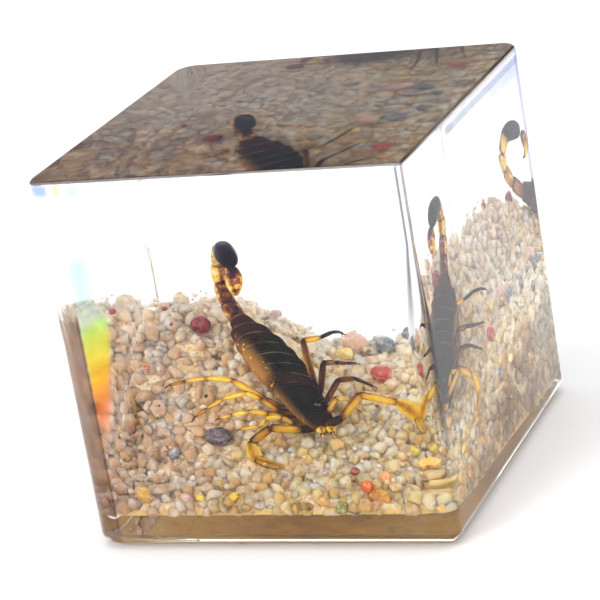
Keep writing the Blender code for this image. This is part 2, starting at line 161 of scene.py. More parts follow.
# Curved forms, each through points of (x, y, z, radius)
TAIL_DOME = (
    (-9.3, 10.9, 28.95, 0.5), (-9.25, 10.7, 29.1, 0.85), (-9.1, 10.2, 29.2, 1.15),
    (-8.75, 9.3, 29.25, 1.35), (-8.2, 8.0, 29.15, 1.42), (-7.65, 6.9, 28.85, 1.34),
    (-7.25, 6.1, 28.5, 1.1), (-7.05, 5.6, 28.25, 0.7),
)
STING = (
    (-6.85, 5.5, 28.0, 0.55), (-6.8, 5.0, 27.5, 1.0), (-6.7, 4.55, 26.7, 1.2),
    (-6.7, 4.35, 25.8, 1.05), (-6.8, 4.7, 25.0, 0.6), (-6.95, 5.4, 24.6, 0.28),
    (-7.1, 6.1, 24.7, 0.06),
)
DOME_DARKNESS = 1.25
STING_DARKNESS = (0.6, 0.5, 0.3, 0.05, 0.1, 0.5, 0.8)

# Legs: joints from the body outwards, each (x, y, z, radius, darkness)
LEGS = {
    "leg_left_4": (
        (1.4, -5.0, 12.6, 0.6, 0.6), (-0.9, -6.0, 12.9, 0.5, 0.35), (-2.5, -5.5, 13.8, 0.5, 0.2),
        (-7.0, -3.0, 15.8, 0.42, 0.1), (-10.5, -1.9, 15.9, 0.3, 0.15),
        (-13.4, -1.4, 15.5, 0.24, 0.45), (-15.8, -1.0, 14.9, 0.18, 0.75),
    ),
    "leg_left_3": (
        (2.0, -6.0, 12.0, 0.55, 0.6), (-0.7, -7.0, 12.7, 0.45, 0.35), (-2.9, -6.4, 14.2, 0.42, 0.2),
        (-4.9, -5.6, 14.8, 0.38, 0.1), (-8.0, -5.1, 14.0, 0.28, 0.25),
        (-10.2, -5.4, 12.9, 0.22, 0.4), (-11.9, -5.6, 11.9, 0.16, 0.6),
    ),
    "leg_left_2": (
        (2.6, -7.0, 11.6, 0.5, 0.6), (0.2, -8.0, 12.1, 0.42, 0.35), (-1.9, -8.0, 12.8, 0.4, 0.2),
        (-4.4, -7.5, 12.9, 0.3, 0.1), (-6.7, -6.9, 12.4, 0.24, 0.25), (-8.6, -6.3, 11.9, 0.16, 0.5),
    ),
    "leg_left_1": (
        (3.2, -7.8, 11.2, 0.48, 0.6), (1.2, -8.9, 11.6, 0.4, 0.3), (0.0, -9.2, 12.6, 0.38, 0.1),
        (-2.0, -9.0, 12.4, 0.32, 0.15), (-3.0, -8.8, 11.4, 0.26, 0.2),
        (-5.7, -8.2, 10.9, 0.16, 0.3),
    ),
    "leg_right_4": (
        (1.2, -3.4, 13.4, 0.6, 0.7), (2.9, -1.8, 14.2, 0.5, 0.4), (0.9, 3.5, 18.9, 0.45, 0.3),
        (2.8, 5.0, 18.9, 0.3, 1.0), (3.6, 8.0, 18.8, 0.26, 0.9), (3.9, 10.2, 18.3, 0.2, 0.95),
        (3.9, 12.0, 17.6, 0.16, 1.0),
    ),
    "leg_right_3": (
        (1.9, -4.6, 12.9, 0.55, 0.7), (3.7, -3.0, 13.9, 0.45, 0.6), (3.8, 0.4, 16.8, 0.42, 0.55),
        (4.5, 3.0, 16.2, 0.32, 0.65), (5.3, 5.7, 15.4, 0.24, 0.75), (5.9, 8.0, 14.8, 0.16, 0.8),
    ),
    "leg_right_2": (
        (2.8, -5.8, 12.2, 0.5, 0.7), (4.6, -4.4, 13.2, 0.42, 0.6), (5.9, -2.0, 15.2, 0.4, 0.65),
        (7.2, 1.0, 14.6, 0.3, 0.7), (7.9, 2.6, 13.7, 0.22, 0.6), (8.5, 4.0, 12.9, 0.16, 0.5),
    ),
    "leg_right_1": (
        (3.4, -7.0, 11.6, 0.48, 0.5), (5.1, -6.4, 12.4, 0.4, 0.3), (6.2, -5.7, 13.9, 0.38, 0.05),
        (7.1, -3.6, 13.2, 0.28, 0.1), (7.5, -2.9, 12.3, 0.22, 0.3), (7.8, -2.4, 11.6, 0.16, 0.5),
    ),
}
ARMS = {
    "arm_left": (
        (3.8, -8.3, 11.0, 0.6, 0.8), (2.4, -9.9, 11.1, 0.58, 0.35), (-1.1, -10.9, 11.7, 0.6, 0.45),
        (-3.6, -11.7, 10.1, 0.55, 0.4),
    ),
    "arm_right": (
        (4.4, -8.2, 11.0, 0.6, 0.8), (7.2, -8.9, 12.1, 0.58, 0.3), (8.9, -4.8, 14.0, 0.56, 0.25),
        (13.2, -4.0, 12.7, 0.5, 0.2),
    ),
}
HANDS = {
    "hand_left": (
        (-3.75, -11.75, 10.35, 0.3), (-3.7, -11.8, 10.0, 0.62), (-3.62, -11.9, 9.5, 0.92),
        (-3.4, -12.1, 8.8, 1.04), (-3.15, -12.35, 8.3, 0.82), (-2.95, -12.55, 8.0, 0.5),
    ),
    "hand_right": (
        (12.8, -3.95, 12.9, 0.3), (13.3, -4.0, 12.7, 0.62), (14.0, -4.1, 12.35, 0.97),
        (14.9, -4.35, 11.8, 1.12), (15.6, -4.7, 11.2, 0.85), (16.1, -5.0, 10.8, 0.5),
    ),
}
FINGERS = {
    "finger_left_inner": (
        (-3.2, -12.2, 8.5, 0.4), (-2.7, -12.55, 8.3, 0.36), (-1.9, -13.0, 8.17, 0.31),
        (-0.9, -13.45, 7.95, 0.25), (0.1, -13.85, 7.82, 0.18), (0.75, -14.05, 7.85, 0.05),
    ),
    "finger_left_outer": (
        (-3.4, -12.5, 8.2, 0.4), (-2.9, -12.8, 7.9, 0.35), (-2.1, -13.2, 7.55, 0.3),
        (-1.1, -13.65, 7.38, 0.25), (-0.1, -14.0, 7.4, 0.18), (0.6, -14.15, 7.6, 0.05),
    ),
    "finger_right_inner": (
        (15.6, -4.6, 11.3, 0.4), (16.2, -5.0, 10.8, 0.36), (16.8, -5.7, 10.3, 0.31),
        (17.2, -6.4, 9.9, 0.25), (17.35, -7.0, 9.7, 0.18), (17.3, -7.5, 9.6, 0.05),
    ),
    "finger_right_outer": (
        (15.3, -4.9, 11.0, 0.4), (15.55, -5.5, 10.5, 0.35), (15.9, -6.2, 10.05, 0.3),
        (16.35, -6.9, 9.75, 0.25), (16.8, -7.35, 9.6, 0.18), (17.15, -7.6, 9.55, 0.05),
    ),
}
JAWS = {
    "jaw_left": (
        (4.0, -8.0, 11.2, 0.5), (4.3, -8.7, 11.1, 0.62), (4.6, -9.3, 10.9, 0.6),
        (4.85, -9.75, 10.6, 0.35),
    ),
    "jaw_right": (
        (5.0, -7.6, 11.2, 0.5), (5.35, -8.2, 11.1, 0.62), (5.7, -8.75, 10.9, 0.6),
        (5.95, -9.2, 10.6, 0.35),
    ),
}

# Sections of the limbs: how many sides, how flat, how many ridges and how high they stand
LEG_SECTION = (10,)
CLAW_SECTION = (6,)
ARM_SECTION = (16, 0.9, 4, 0.05)
HAND_SECTION = (16, 0.86, 4, 0.04)
FINGER_SECTION = (10, 0.8)
TAIL_SECTION = (20, 0.94, 5, 0.06)
DOME_SECTION = (20, 0.96, 5, 0.03)
STING_SECTION = (16, 0.92)
JAW_SECTION = (14, 0.9)
TOOTH_SECTION = (8,)

# Stones that are nodes of the frame: centre, half sizes, dark and light colour
STONES = {
    "dark_red_stone": ((-13.2, 9.0, 20.1), (1.3, 1.1, 1.1), (0.1, 0.008, 0.02), (0.32, 0.02, 0.05)),
    "grey_pebble": ((-8.6, -8.0, 10.0), (1.8, 1.3, 1.1), (0.05, 0.04, 0.06), (0.16, 0.12, 0.14)),
    "ochre_pebble": ((13.5, -21.4, 5.35), (1.3, 1.15, 1.35), (0.42, 0.17, 0.03), (0.8, 0.42, 0.08)),
    "orange_chip": ((12.0, -20.9, 6.9), (0.8, 0.7, 0.7), (0.55, 0.07, 0.02), (0.85, 0.25, 0.04)),
    "salmon_stone": ((8.9, 7.6, 13.5), (1.3, 1.1, 1.0), (0.4, 0.07, 0.07), (0.72, 0.26, 0.18)),
    "blue_grey_stone": ((7.6, 17.6, 14.6), (1.2, 1.0, 1.1), (0.12, 0.15, 0.19), (0.34, 0.38, 0.42)),
}

# Coloured chips among the gravel: place, half size, colour
CHIPS = (
    ((-19.2, 2.5, 16.4), 0.45, (0.5, 0.08, 0.03)),
    ((-17.2, 9.7, 20.2), 0.3, (0.3, 0.02, 0.02)),
    ((-13.6, -11.2, 8.9), 0.9, (0.2, 0.2, 0.26)),
    ((-15.2, -22.6, 6.5), 1.0, (0.62, 0.36, 0.06)),
    ((-8.1, -22.8, 6.2), 0.55, (0.85, 0.62, 0.05)),
    ((-3.9, -22.8, 6.3), 0.55, (0.85, 0.62, 0.05)),
    ((-5.5, -22.8, 4.8), 0.45, (0.85, 0.6, 0.08)),
    ((13.8, -18.6, 7.3), 0.75, (0.9, 0.28, 0.03)),
    ((9.6, -16.2, 7.5), 0.6, (0.28, 0.03, 0.03)),
    ((9.0, -22.8, 4.8), 0.7, (0.25, 0.26, 0.06)),
    ((17.5, -13.8, 7.7), 0.9, (0.85, 0.55, 0.12)),
    ((15.9, -10.6, 8.4), 0.7, (0.6, 0.5, 0.08)),
    ((3.8, 17.4, 15.1), 1.5, (0.62, 0.42, 0.36)),
    ((3.3, 13.6, 14.7), 0.9, (0.7, 0.58, 0.22)),
    ((9.8, -0.3, 11.5), 0.25, (0.02, 0.015, 0.015)),
    ((-9.9, -22.6, 6.0), 0.9, (0.62, 0.4, 0.38)),
    ((-15.5, -8.2, 10.2), 0.3, (0.3, 0.03, 0.03)),
    ((-16.8, -3.5, 12.9), 0.3, (0.03, 0.02, 0.02)),
    ((-11.0, -2.2, 13.7), 0.3, (0.03, 0.02, 0.02)),
    ((6.6, -22.6, 5.9), 1.0, (0.75, 0.42, 0.14)),
    ((20.6, -22.6, 4.7), 0.5, (0.9, 0.45, 0.08)),
    ((17.6, 19.2, 15.1), 0.9, (0.1, 0.12, 0.18)),
    ((20.3, 0.2, 11.6), 0.7, (0.12, 0.15, 0.24)),
    ((9.8, 20.9, 15.2), 0.9, (0.16, 0.18, 0.24)),
    ((20.9, 4.2, 11.5), 0.7, (0.85, 0.68, 0.3)),
    ((21.4, -16.2, 6.0), 0.8, (0.85, 0.55, 0.15)),
    ((21.4, -10.6, 7.2), 0.7, (0.8, 0.5, 0.2)),
    ((-19.0, 14.0, 21.2), 0.5, (0.3, 0.03, 0.05)),
    ((-6.0, 19.0, 18.6), 0.8, (0.45, 0.3, 0.34)),
    ((0.5, -4.0, 11.9), 0.4, (0.5, 0.4, 0.1)),
)


def clear_scene():
    """Takes away whatever isn't part of the frame."""
    kept = {*frame["bodies"].values(), *frame["nodes"].values()}
    for item in list(bpy.data.objects):
        if item not in kept:
            bpy.data.objects.remove(item, do_unlink=True)


def mix(first, second, share):
    return first + (second - first) * share


def ramp(value, start, end):
    return min(1.0, max(0.0, (value - start) / (end - start)))


# ---- finishes -------------------------------------------------------------------


class Value:
    """The number on a socket. Sums with it add Math nodes."""

    def __init__(self, look, socket):
        self.look = look
        self.socket = socket

    def sum(self, operation, first, second):
        return self.look.node("ShaderNodeMath", {"operation": operation}, {0: first, 1: second})

    def __add__(self, other):
        return self.sum("ADD", self, other)

    __radd__ = __add__

    def __sub__(self, other):
        return self.sum("SUBTRACT", self, other)

    def __rsub__(self, other):
        return self.sum("SUBTRACT", other, self)

    def __mul__(self, other):
        return self.sum("MULTIPLY", self, other)

    __rmul__ = __mul__


class Look:
    """A tree of nodes, for a finish, for the light of the room or for the laying of stones."""

    def __init__(self, tree):
        self.tree = tree

    def node(self, kind, settings, inputs, output=0):
        """Adds a node: its settings first, then the values or links of its sockets."""
        made = self.tree.nodes.new(kind)
        for name, value in settings.items():
            if name == "stops":
                self.set_stops(made.color_ramp, value)
            else:
                setattr(made, name, value)
        self.fill(made.inputs, inputs)
        return Value(self, made.outputs[output])

    def fill(self, sockets, values):
        """Sets or links each socket that is named or numbered."""
        for name, value in values.items():
            self.join(value, sockets[name])

    def join(self, value, socket):
        if isinstance(value, Value):
            self.tree.links.new(value.socket, socket)
        elif isinstance(value, tuple) and len(value) == 3 and socket.type == "RGBA":
            socket.default_value = (*value, 1.0)
        else:
            socket.default_value = value

    @staticmethod
    def set_stops(color_ramp, stops):
        points = color_ramp.elements
        while len(points) < len(stops):
            points.new(0.5)
        for point, (place, colour) in zip(points, stops):
            point.position = place
        for point, (place, colour) in zip(points, stops):
            point.color = (*colour, 1.0)

    def place(self):
        return self.node("ShaderNodeTexCoord", {}, {}, "Object")

    def along(self, axis, vector=None):
        """How far along an axis, in metres, the place or another vector is."""
        return self.node("ShaderNodeSeparateXYZ", {}, {0: vector or self.place()}, axis)

    def attribute(self, name, output="Fac"):
        return self.node("ShaderNodeAttribute", {"attribute_name": name}, {}, output)

    def noise(self, grain, detail=3.0, roughness=0.5, distortion=0.0):
        """Cloudy noise whose lumps are about as large as grain, in metres."""
        inputs = {
            "Vector": self.place(),
            "Scale": 1 / grain,
            "Detail": detail,
            "Roughness": roughness,
            "Distortion": distortion,
        }
        return self.node("ShaderNodeTexNoise", {}, inputs)

    def cells(self, pitch):
        return self.node("ShaderNodeTexVoronoi", {}, {"Vector": self.place(), "Scale": 1 / pitch})

    def colours(self, value, stops):
        return self.node("ShaderNodeValToRGB", {"stops": stops}, {"Fac": value})

    def blend(self, share, first, second, kind="MIX"):
        settings = {"data_type": "RGBA", "blend_type": kind}
        return self.node("ShaderNodeMix", settings, {0: share, 6: first, 7: second}, 2)

    def between(self, value, low, high, to_low=0.0, to_high=1.0):
        """A smooth step from one number to another as the value goes from low to high."""
        inputs = {0: value, 1: low, 2: high, 3: to_low, 4: to_high}
        return self.node("ShaderNodeMapRange", {"interpolation_type": "SMOOTHSTEP"}, inputs)

    def stain(self, shade, colour, value, low, high, share=1.0, kind="MIX"):
        """The shade, taken towards a colour as the value goes from low to high."""
        return self.blend(self.between(value, low, high, 0.0, share), shade, colour, kind)

    def bump(self, grain, detail, roughness, strength, distance):
        """Fine unevenness as a normal: its noise, how strong it is and how deep."""
        height = self.noise(grain, detail, roughness)
        inputs = {"Height": height, "Strength": strength, "Distance": distance}
        return self.node("ShaderNodeBump", {}, inputs)


class Finish(Look):
    """A new material with a Principled shader."""

    def __init__(self, name):
        self.material = bpy.data.materials.new(name)
        self.material.use_nodes = True
        super().__init__(self.material.node_tree)

    def made(self, values):
        """The material, once the shader's sockets have their values."""
        self.fill(self.tree.nodes["Principled BSDF"].inputs, values)
        return self.material


# Painted shade, highlight and colour where edges bend the light into bands, in millimetres: the
# face, from and to across it, from and to up it, and how soft the limits are. Last is how much of
# each colour passes.
BANDS = (
    ("front", -24, -18.8, 0, 28.5, 0.25, (0.67, 0.59, 0.57)),
    ("front", -19.0, -18.7, 2, 29, 0.12, (0.52, 0.42, 0.42)),
    ("front", -24, -22.0, 2, 32, 0.08, (0.45, 0.46, 0.50)),
    ("front", -19.0, -11, 32, 43, 3.0, (0.90, 1.0, 1.0)),
    ("front", -18.6, -16.4, 29.5, 36, 1.0, (0.74, 0.97, 1.0)),
    ("front", -21.4, -19.4, 43.4, 44.8, 0.45, (0.42, 0.58, 0.96)),
    ("front", -18.7, -17.9, 43.4, 44.8, 0.4, (1.0, 0.84, 0.42)),
    ("front", -17.2, -15.4, 43.0, 44.8, 0.7, (0.72, 0.92, 1.0)),
    ("front", -15, -2, 43.2, 45.2, 0.8, (0.93, 0.97, 1.0)),
    ("front", -14.2, -13.2, 15.6, 18.4, 0.5, (1.0, 0.66, 0.26)),
    ("front", -15.0, -14.2, 13.8, 16.2, 0.4, (1.0, 0.64, 0.48)),
    ("right", 21.0, 25, 26.8, 45, 0.15, (0.62, 0.63, 0.82)),
    ("right", 20.8, 21.1, 26.8, 44, 0.08, (0.52, 0.52, 0.70)),
    ("right", 22.4, 25, 12, 25.8, 0.15, (0.50, 0.50, 0.50)),
    ("right", 19.5, 25, 26.1, 26.5, 0.1, (0.55, 0.56, 0.66)),
    ("right", -8, 25, 43.0, 44.0, 0.15, (0.52, 0.56, 0.68)),
    ("right", -11, 25, 44.3, 44.5, 0.06, (0.45, 0.46, 0.55)),
    ("right", 9, 22, 41.6, 43.4, 1.0, (0.66, 0.74, 0.90)),
    ("right", 15, 25, 38, 46, 3.0, (0.82, 0.87, 0.98)),
    ("top", -24, 24, -23.6, -23.3, 0.12, (0.35, 0.22, 0.20)),
    ("top", -24, 24, -25, -23.75, 0.1, (1.6, 1.6, 1.6)),
)
# The axes across, up and out of each face, and where out along the last one the face starts
FACES = {
    "front": ("X", "Z", "Y", -20 * MM, -20.3 * MM),
    "right": ("Y", "Z", "X", 21 * MM, 21.6 * MM),
    "top": ("X", "Y", "Z", HEIGHT - 0.2 * MM, HEIGHT - 0.1 * MM),
}
# Colours of the painted prismatic fringe at the left of the front face, from its upper end
FRINGE = (
    (0.0, (0.86, 1.0, 0.98)),
    (0.12, (0.72, 1.0, 0.36)),
    (0.32, (0.98, 0.95, 0.16)),
    (0.52, (1.0, 0.68, 0.08)),
    (0.72, (1.0, 0.46, 0.22)),
    (1.0, (1.0, 0.66, 0.52)),
)
# Its heights and left side, and its slanting right side as two heights and two places across
FRINGE_FOOT = 15
FRINGE_TOP = 29.5
FRINGE_LEFT = (-18.8 * MM, -18.5 * MM)
FRINGE_RIGHT = (14 * MM, 28 * MM, -17.4 * MM, -15.2 * MM)
# How fast the colours run across and down it, in ranges a metre, and where they start
FRINGE_ACROSS = 40
FRINGE_DOWN = 66
FRINGE_START = 2.62


def squared(colour):
    """The colour to give a face, since light takes its root at each of the two that it passes."""
    return tuple(part * part for part in colour)


def clear_resin_finish(settings):
    """Polished resin: clear, with fine rubs, a hazed top in painted shade, and painted bands of
    shade, highlight and colour at its edges.
    """
    look = Finish("clear_resin")
    along = {axis: look.along(axis) for axis in "XYZ"}
    masks = {}
    for face, (*_, out, low, high) in FACES.items():
        masks[face] = look.between(along[out], low, high)

    def within(axis, low, high, soft):
        rise = look.between(along[axis], (low - soft) * MM, (low + soft) * MM)
        return rise * look.between(along[axis], (high + soft) * MM, (high - soft) * MM)

    # Painted shade over the top face
    shade = look.blend(masks["top"], tuple(settings.tint), tuple(settings.top_painted_shade))
    # Painted bands of shade, highlight and colour at the edges
    for face, left, right, low, high, soft, colour in BANDS:
        across, up = FACES[face][:2]
        share = masks[face] * within(across, left, right, soft) * within(up, low, high, soft)
        shade = look.blend(share, shade, squared(colour), "MULTIPLY")
    # The painted prismatic fringe, in the colour and as a painted glow
    past_right = along["X"] - look.between(along["Z"], *FRINGE_RIGHT)
    share = look.between(along["X"], *FRINGE_LEFT) * look.between(past_right, 0.7 * MM, -0.5 * MM)
    share = share * masks["front"] * within("Z", FRINGE_FOOT, FRINGE_TOP, 1.6)
    at = along["X"] * FRINGE_ACROSS - along["Z"] * FRINGE_DOWN + FRINGE_START
    fringe = look.colours(at, tuple((stop, squared(hue)) for stop, hue in FRINGE))
    shade = look.blend(share, shade, fringe, "MULTIPLY")
    # Painted shade on the rounded edges: the edge attribute says how much of its dark colour each
    # takes
    edge = look.attribute("edge")
    rubs = look.between(look.noise(0.004, 5.0, 0.62, 1.2), 0.56, 0.72)
    strip = masks["front"] * within("X", -25, -18.9, 0.2) * within("Z", 4.5, 28, 0.5)
    depth = {"Color": tuple(settings.depth_tint), "Density": settings.density}
    absorption = look.node("ShaderNodeVolumeAbsorption", {}, depth)
    look.join(absorption, look.tree.nodes["Material Output"].inputs["Volume"])
    look.material.cycles.emission_sampling = "NONE"
    return look.made({
        "Base Color": look.blend(edge, shade, tuple(settings.edge_painted_shade)),
        "Roughness": rubs * 0.035 + strip * 0.22 + share * 0.2 + masks["top"] * 0.07,
        "IOR": settings.refraction,
        "Transmission Weight": 1.0,
        "Coat Weight": edge * 0.4,
        "Coat IOR": 1.9,
        "Coat Roughness": 0.08,
        "Emission Color": look.blend(share, (0.0, 0.0, 0.0), fringe),
        "Emission Strength": settings.fringe_painted_glow,
    })


def quartz_shade(look, own):
    """Milky quartz: clouded white, golden to the front, with painted shade at the sides, a painted
    glow at the back and dark specks.
    """
    aside = look.along("X")
    along = look.along("Y")
    clouds = look.noise(0.0021, 4.0, 0.6, 0.5)
    shade = look.stain(own, (0.998, 0.945, 0.82), clouds, 0.50, 0.60, 0.8)
    veins = look.noise(0.0008, 3.0, 0.6, 0.4)
    shade = look.stain(shade, (0.88, 0.66, 0.38), veins, 0.54, 0.68, 0.6)
    golden = look.noise(0.0042, 3.0, 0.6, 0.6) + look.between(along, -0.002, -0.022) * 0.16
    shade = look.stain(shade, (0.95, 0.64, 0.22), golden, 0.5, 0.74, 0.75)
    # Purple patches, and painted shade towards the left
    purple = look.noise(0.0031, 2.0, 0.5, 0.4)
    purple_and_painted_shade = look.between(purple, 0.60, 0.72) * 0.35 + look.between(aside, 0.002, -0.016) * 0.9
    shade = look.blend(purple_and_painted_shade, shade, (0.68, 0.51, 0.42))
    broad = look.noise(0.0034, 3.0, 0.55, 0.5)
    shade = look.stain(shade, (0.80, 0.66, 0.46), broad, 0.56, 0.40, 0.8, "MULTIPLY")
    shade = look.stain(shade, (1.0, 0.975, 0.91), broad, 0.56, 0.68, 0.7)
    # Painted shade near the right wall
    right = look.between(aside, 0.017, 0.021) * look.between(along, -0.016, -0.004)
    shade = look.blend(right, shade, (0.60, 0.53, 0.45), "MULTIPLY")
    # Painted glow: paler towards the back
    shade = look.stain(shade, (1.0, 0.95, 0.84), along, 0.004, 0.02, 0.5)
    return look.stain(shade, (0.04, 0.03, 0.03), look.noise(0.00022, 1.0), 0.75, 0.79)


def milky(look, shade, transmission):
    """The material for a shade, lit from within as milky quartz is."""
    return look.made({
        "Base Color": shade,
        "Roughness": 0.4,
        "IOR": 1.04,
        "Transmission Weight": transmission,
        "Subsurface Weight": 1.0,
        "Subsurface Radius": (1.0, 0.9, 0.8),
        "Subsurface Scale": 1.8 * MM,
        "Normal": look.bump(0.0005, 3.0, 0.6, 0.6, 0.00016),
    })


def quartz_finish():
    """Milky crushed quartz, each stone of its own shade."""
    look = Finish("milky_quartz")
    own = look.colours(look.attribute("tint"), (
        (0.0, (0.62, 0.43, 0.28)),
        (0.16, (0.80, 0.57, 0.30)),
        (0.34, (0.90, 0.70, 0.40)),
        (0.60, (0.95, 0.80, 0.53)),
        (0.82, (0.985, 0.915, 0.74)),
        (0.94, (0.95, 0.74, 0.34)),
        (0.98, (0.76, 0.57, 0.45)),
    ))
    return milky(look, quartz_shade(look, own), 0.25)


def bedding_finish():
    """The milky dust between the stones: pale above, brown where the casting set on it."""
    look = Finish("fine_bedding")
    under = look.colours(look.noise(0.008, 3.0, 0.55, 0.4), (
        (0.3, (0.64, 0.46, 0.24)),
        (0.5, (0.86, 0.58, 0.20)),
        (0.7, (0.95, 0.72, 0.34)),
    ))
    stains = look.noise(0.0013, 3.0, 0.6, 0.8)
    under = look.stain(under, (0.36, 0.22, 0.13), stains, 0.52, 0.68, 0.55)
    crumbs = look.between(look.cells(0.0009), 0.1, 0.5, 0.3, 0.0)
    under = look.blend(crumbs, under, (0.60, 0.45, 0.28))
    upper = look.colours(look.noise(0.0024, 2.0, 0.5), (
        (0.3, (0.54, 0.35, 0.18)),
        (0.5, (0.70, 0.49, 0.27)),
        (0.7, (0.84, 0.66, 0.42)),
    ))
    dust = look.noise(0.0008, 3.0, 0.6, 0.4)
    upper = look.stain(upper, (0.97, 0.86, 0.66), dust, 0.44, 0.60, 0.8)
    return milky(look, look.blend(look.attribute("upper"), under, upper), 0.0)


def stone_finish(name, dark, light):
    """A worn stone that clouds from one colour to another, with pale flecks."""
    look = Finish(name)
    clouds = look.noise(0.0009, 4.0, 0.6, 0.8)
    shade = look.stain(dark, light, clouds, 0.38, 0.66)
    flecks = look.noise(0.00028, 2.0, 0.6)
    pale = tuple(min(1.0, 1.8 * part + 0.05) for part in light)
    return look.made({
        "Base Color": look.stain(shade, pale, flecks, 0.64, 0.72, 0.5),
        "Roughness": look.between(clouds, 0.3, 0.7, 0.16, 0.34),
        "Subsurface Weight": 0.15,
        "Subsurface Radius": (1.0, 0.6, 0.4),
        "Subsurface Scale": 0.5 * MM,
        "Normal": look.bump(0.0004, 3.0, 0.6, 0.35, 0.00012),
    })


def chip_finish():
    """Small coloured chips, each of its own colour."""
    look = Finish("coloured_chips")
    clouds = look.noise(0.0006, 4.0, 0.6)
    own = look.attribute("colour", "Color")
    return look.made({
        "Base Color": look.stain(own, (0.88, 0.80, 0.66), clouds, 0.4, 0.75, 0.45),
        "Roughness": look.between(clouds, 0.3, 0.7, 0.15, 0.35),
        "Subsurface Weight": 0.35,
        "Subsurface Radius": (1.0, 0.6, 0.4),
        "Subsurface Scale": 0.5 * MM,
        "Normal": look.bump(0.0004, 3.0, 0.6, 0.4, 0.0001),
    })


def trunk_shell_finish(name, settings):
    """Near black plates with a painted highlight along their hind rims, over amber sides."""
    look = Finish(name)
    mottle = look.noise(0.0016, 4.0, 0.6)
    rust = look.attribute("rust")
    back = look.stain(tuple(settings.plate_colour), tuple(settings.plate_shade), mottle, 0.35, 0.7)
    back = look.blend(rust, back, (0.034, 0.010, 0.012))
    # Painted highlight along the plates' hind rims, broken by the mottling
    rim = look.between(look.attribute("rim"), 0.4, 0.95) * look.between(mottle, 0.36, 0.62)
    back = look.blend(rim * 0.7, back, (0.17, 0.17, 0.13))
    side = look.colours(rust + (mottle - 0.5) * 0.5, (
        (0.0, (0.30, 0.14, 0.035)),
        (0.35, (0.17, 0.065, 0.03)),
        (0.7, (0.05, 0.016, 0.018)),
        (1.0, (0.03, 0.011, 0.015)),
    ))
    side = look.stain(side, (0.95, 0.66, 0.10), look.noise(0.0005, 2.0, 0.6), 0.62, 0.70)
    plate = look.attribute("plate") + (mottle - 0.5) * 0.3
    return look.made({
        "Base Color": look.stain(side, back, plate, 0.0, 1.0),
        "Roughness": look.between(mottle, 0.3, 0.7, 0.3, 0.5),
        "IOR": 1.03,
        "Specular IOR Level": 0.1,
        "Normal": look.bump(0.0003, 3.0, 0.6, 0.2, 0.00004),
    })


# Colours of the amber shell, from its clear parts to its darkest ones
AMBER_STOPS = (
    (0.0, (1.0, 0.84, 0.10)),
    (0.22, (0.99, 0.72, 0.05)),
    (0.42, (0.78, 0.44, 0.03)),
    (0.62, (0.24, 0.085, 0.018)),
    (0.82, (0.075, 0.024, 0.018)),
    (1.0, (0.018, 0.01, 0.012)),
)
TAIL_STOPS = (
    (0.0, (1.0, 0.80, 0.09)),
    (0.24, (0.92, 0.56, 0.05)),
    (0.40, (0.46, 0.15, 0.03)),
    (0.55, (0.13, 0.035, 0.03)),
    (0.8, (0.03, 0.01, 0.022)),
    (1.0, (0.002, 0.004, 0.028)),
)


def amber_shell_finish(name, stops, transmission, grain=0.7 * MM, unevenness=0.3):
    """Glassy amber shell: gold where it is full with painted glints, brown at the joints, and in
    painted shade along the ridges.
    """
    look = Finish(name)
    mottle = look.noise(grain, 4.0, 0.6)
    depth = look.attribute("dark") + look.attribute("joint") * 0.35 + (mottle - 0.5) * unevenness
    full = look.between(depth, 0.4, 0.1)
    # Painted glints: pale flecks where the shell is full
    flecks = look.between(look.noise(0.0005, 2.0, 0.6), 0.52, 0.58) * full
    return look.made({
        "Base Color": look.blend(flecks * 0.8, look.colours(depth, stops), (1.0, 0.95, 0.55)),
        "Roughness": look.between(mottle, 0.3, 0.7, 0.08, 0.2),
        "IOR": 1.14,
        "Transmission Weight": transmission,
        "Subsurface Weight": 0.5,
        "Subsurface Radius": (1.0, 0.9, 0.6),
        "Subsurface Scale": 0.3 * MM,
        "Coat Weight": look.between(depth, 0.6, 0.1, 0.0, 0.8),
        "Coat Roughness": 0.07,
        "Normal": look.bump(0.0003, 2.0, 0.5, 0.25, 0.00005),
    })


def eye_finish():
    look = Finish("black_eye")
    # A painted gleam: lighter noise over the black
    painted_gleam = look.noise(0.0002, 1.0)
    return look.made({
        "Base Color": look.blend(painted_gleam, (0.004, 0.004, 0.005), (0.02, 0.018, 0.02)),
        "Roughness": 0.04,
        "Coat Weight": 1.0,
    })


def floor_finish(settings):
    """Matt pale board, hardly mottled."""
    look = Finish("pale_floor")
    colour = tuple(settings.floor_colour)
    dimmer = tuple(0.97 * part for part in colour)
    return look.made({
        "Base Color": look.blend(look.noise(0.05, 3.0) * 0.5, colour, dimmer),
        "Roughness": 0.8,
        "Specular IOR Level": 0.2,
        "Emission Color": (1.0, 1.0, 1.0),
        "Emission Strength": settings.floor_glow,
    })


# ---- making pieces --------------------------------------------------------------


def mesh_of(bm, name):
    """The bmesh as a mesh, shaded smooth, with its faces pointing out."""
    bmesh.ops.recalc_face_normals(bm, faces=bm.faces)
    mesh = bpy.data.meshes.new(name)
    bm.to_mesh(mesh)
    bm.free()
    mesh.shade_smooth()
    return mesh


def add_object(name, mesh, material=None):
    item = bpy.data.objects.new(name, mesh)
    bpy.context.scene.collection.objects.link(item)
    if material:
        mesh.materials.append(material)
    return item


def apply_modifiers(item):
    """Writes what the modifiers make into the object's own mesh."""
    bpy.context.view_layer.update()
    graph = bpy.context.evaluated_depsgraph_get()
    made = bpy.data.meshes.new_from_object(
        item.evaluated_get(graph), preserve_all_data_layers=True, depsgraph=graph
    )
    plain = item.data
    item.modifiers.clear()
    item.data = made
    bpy.data.meshes.remove(plain)
    made.name = item.name


SPECIMEN_PIECES = (
    "trunk", "carapace", "jaws", "tail", "legs_left", "legs_right", "arm_left", "arm_right",
)


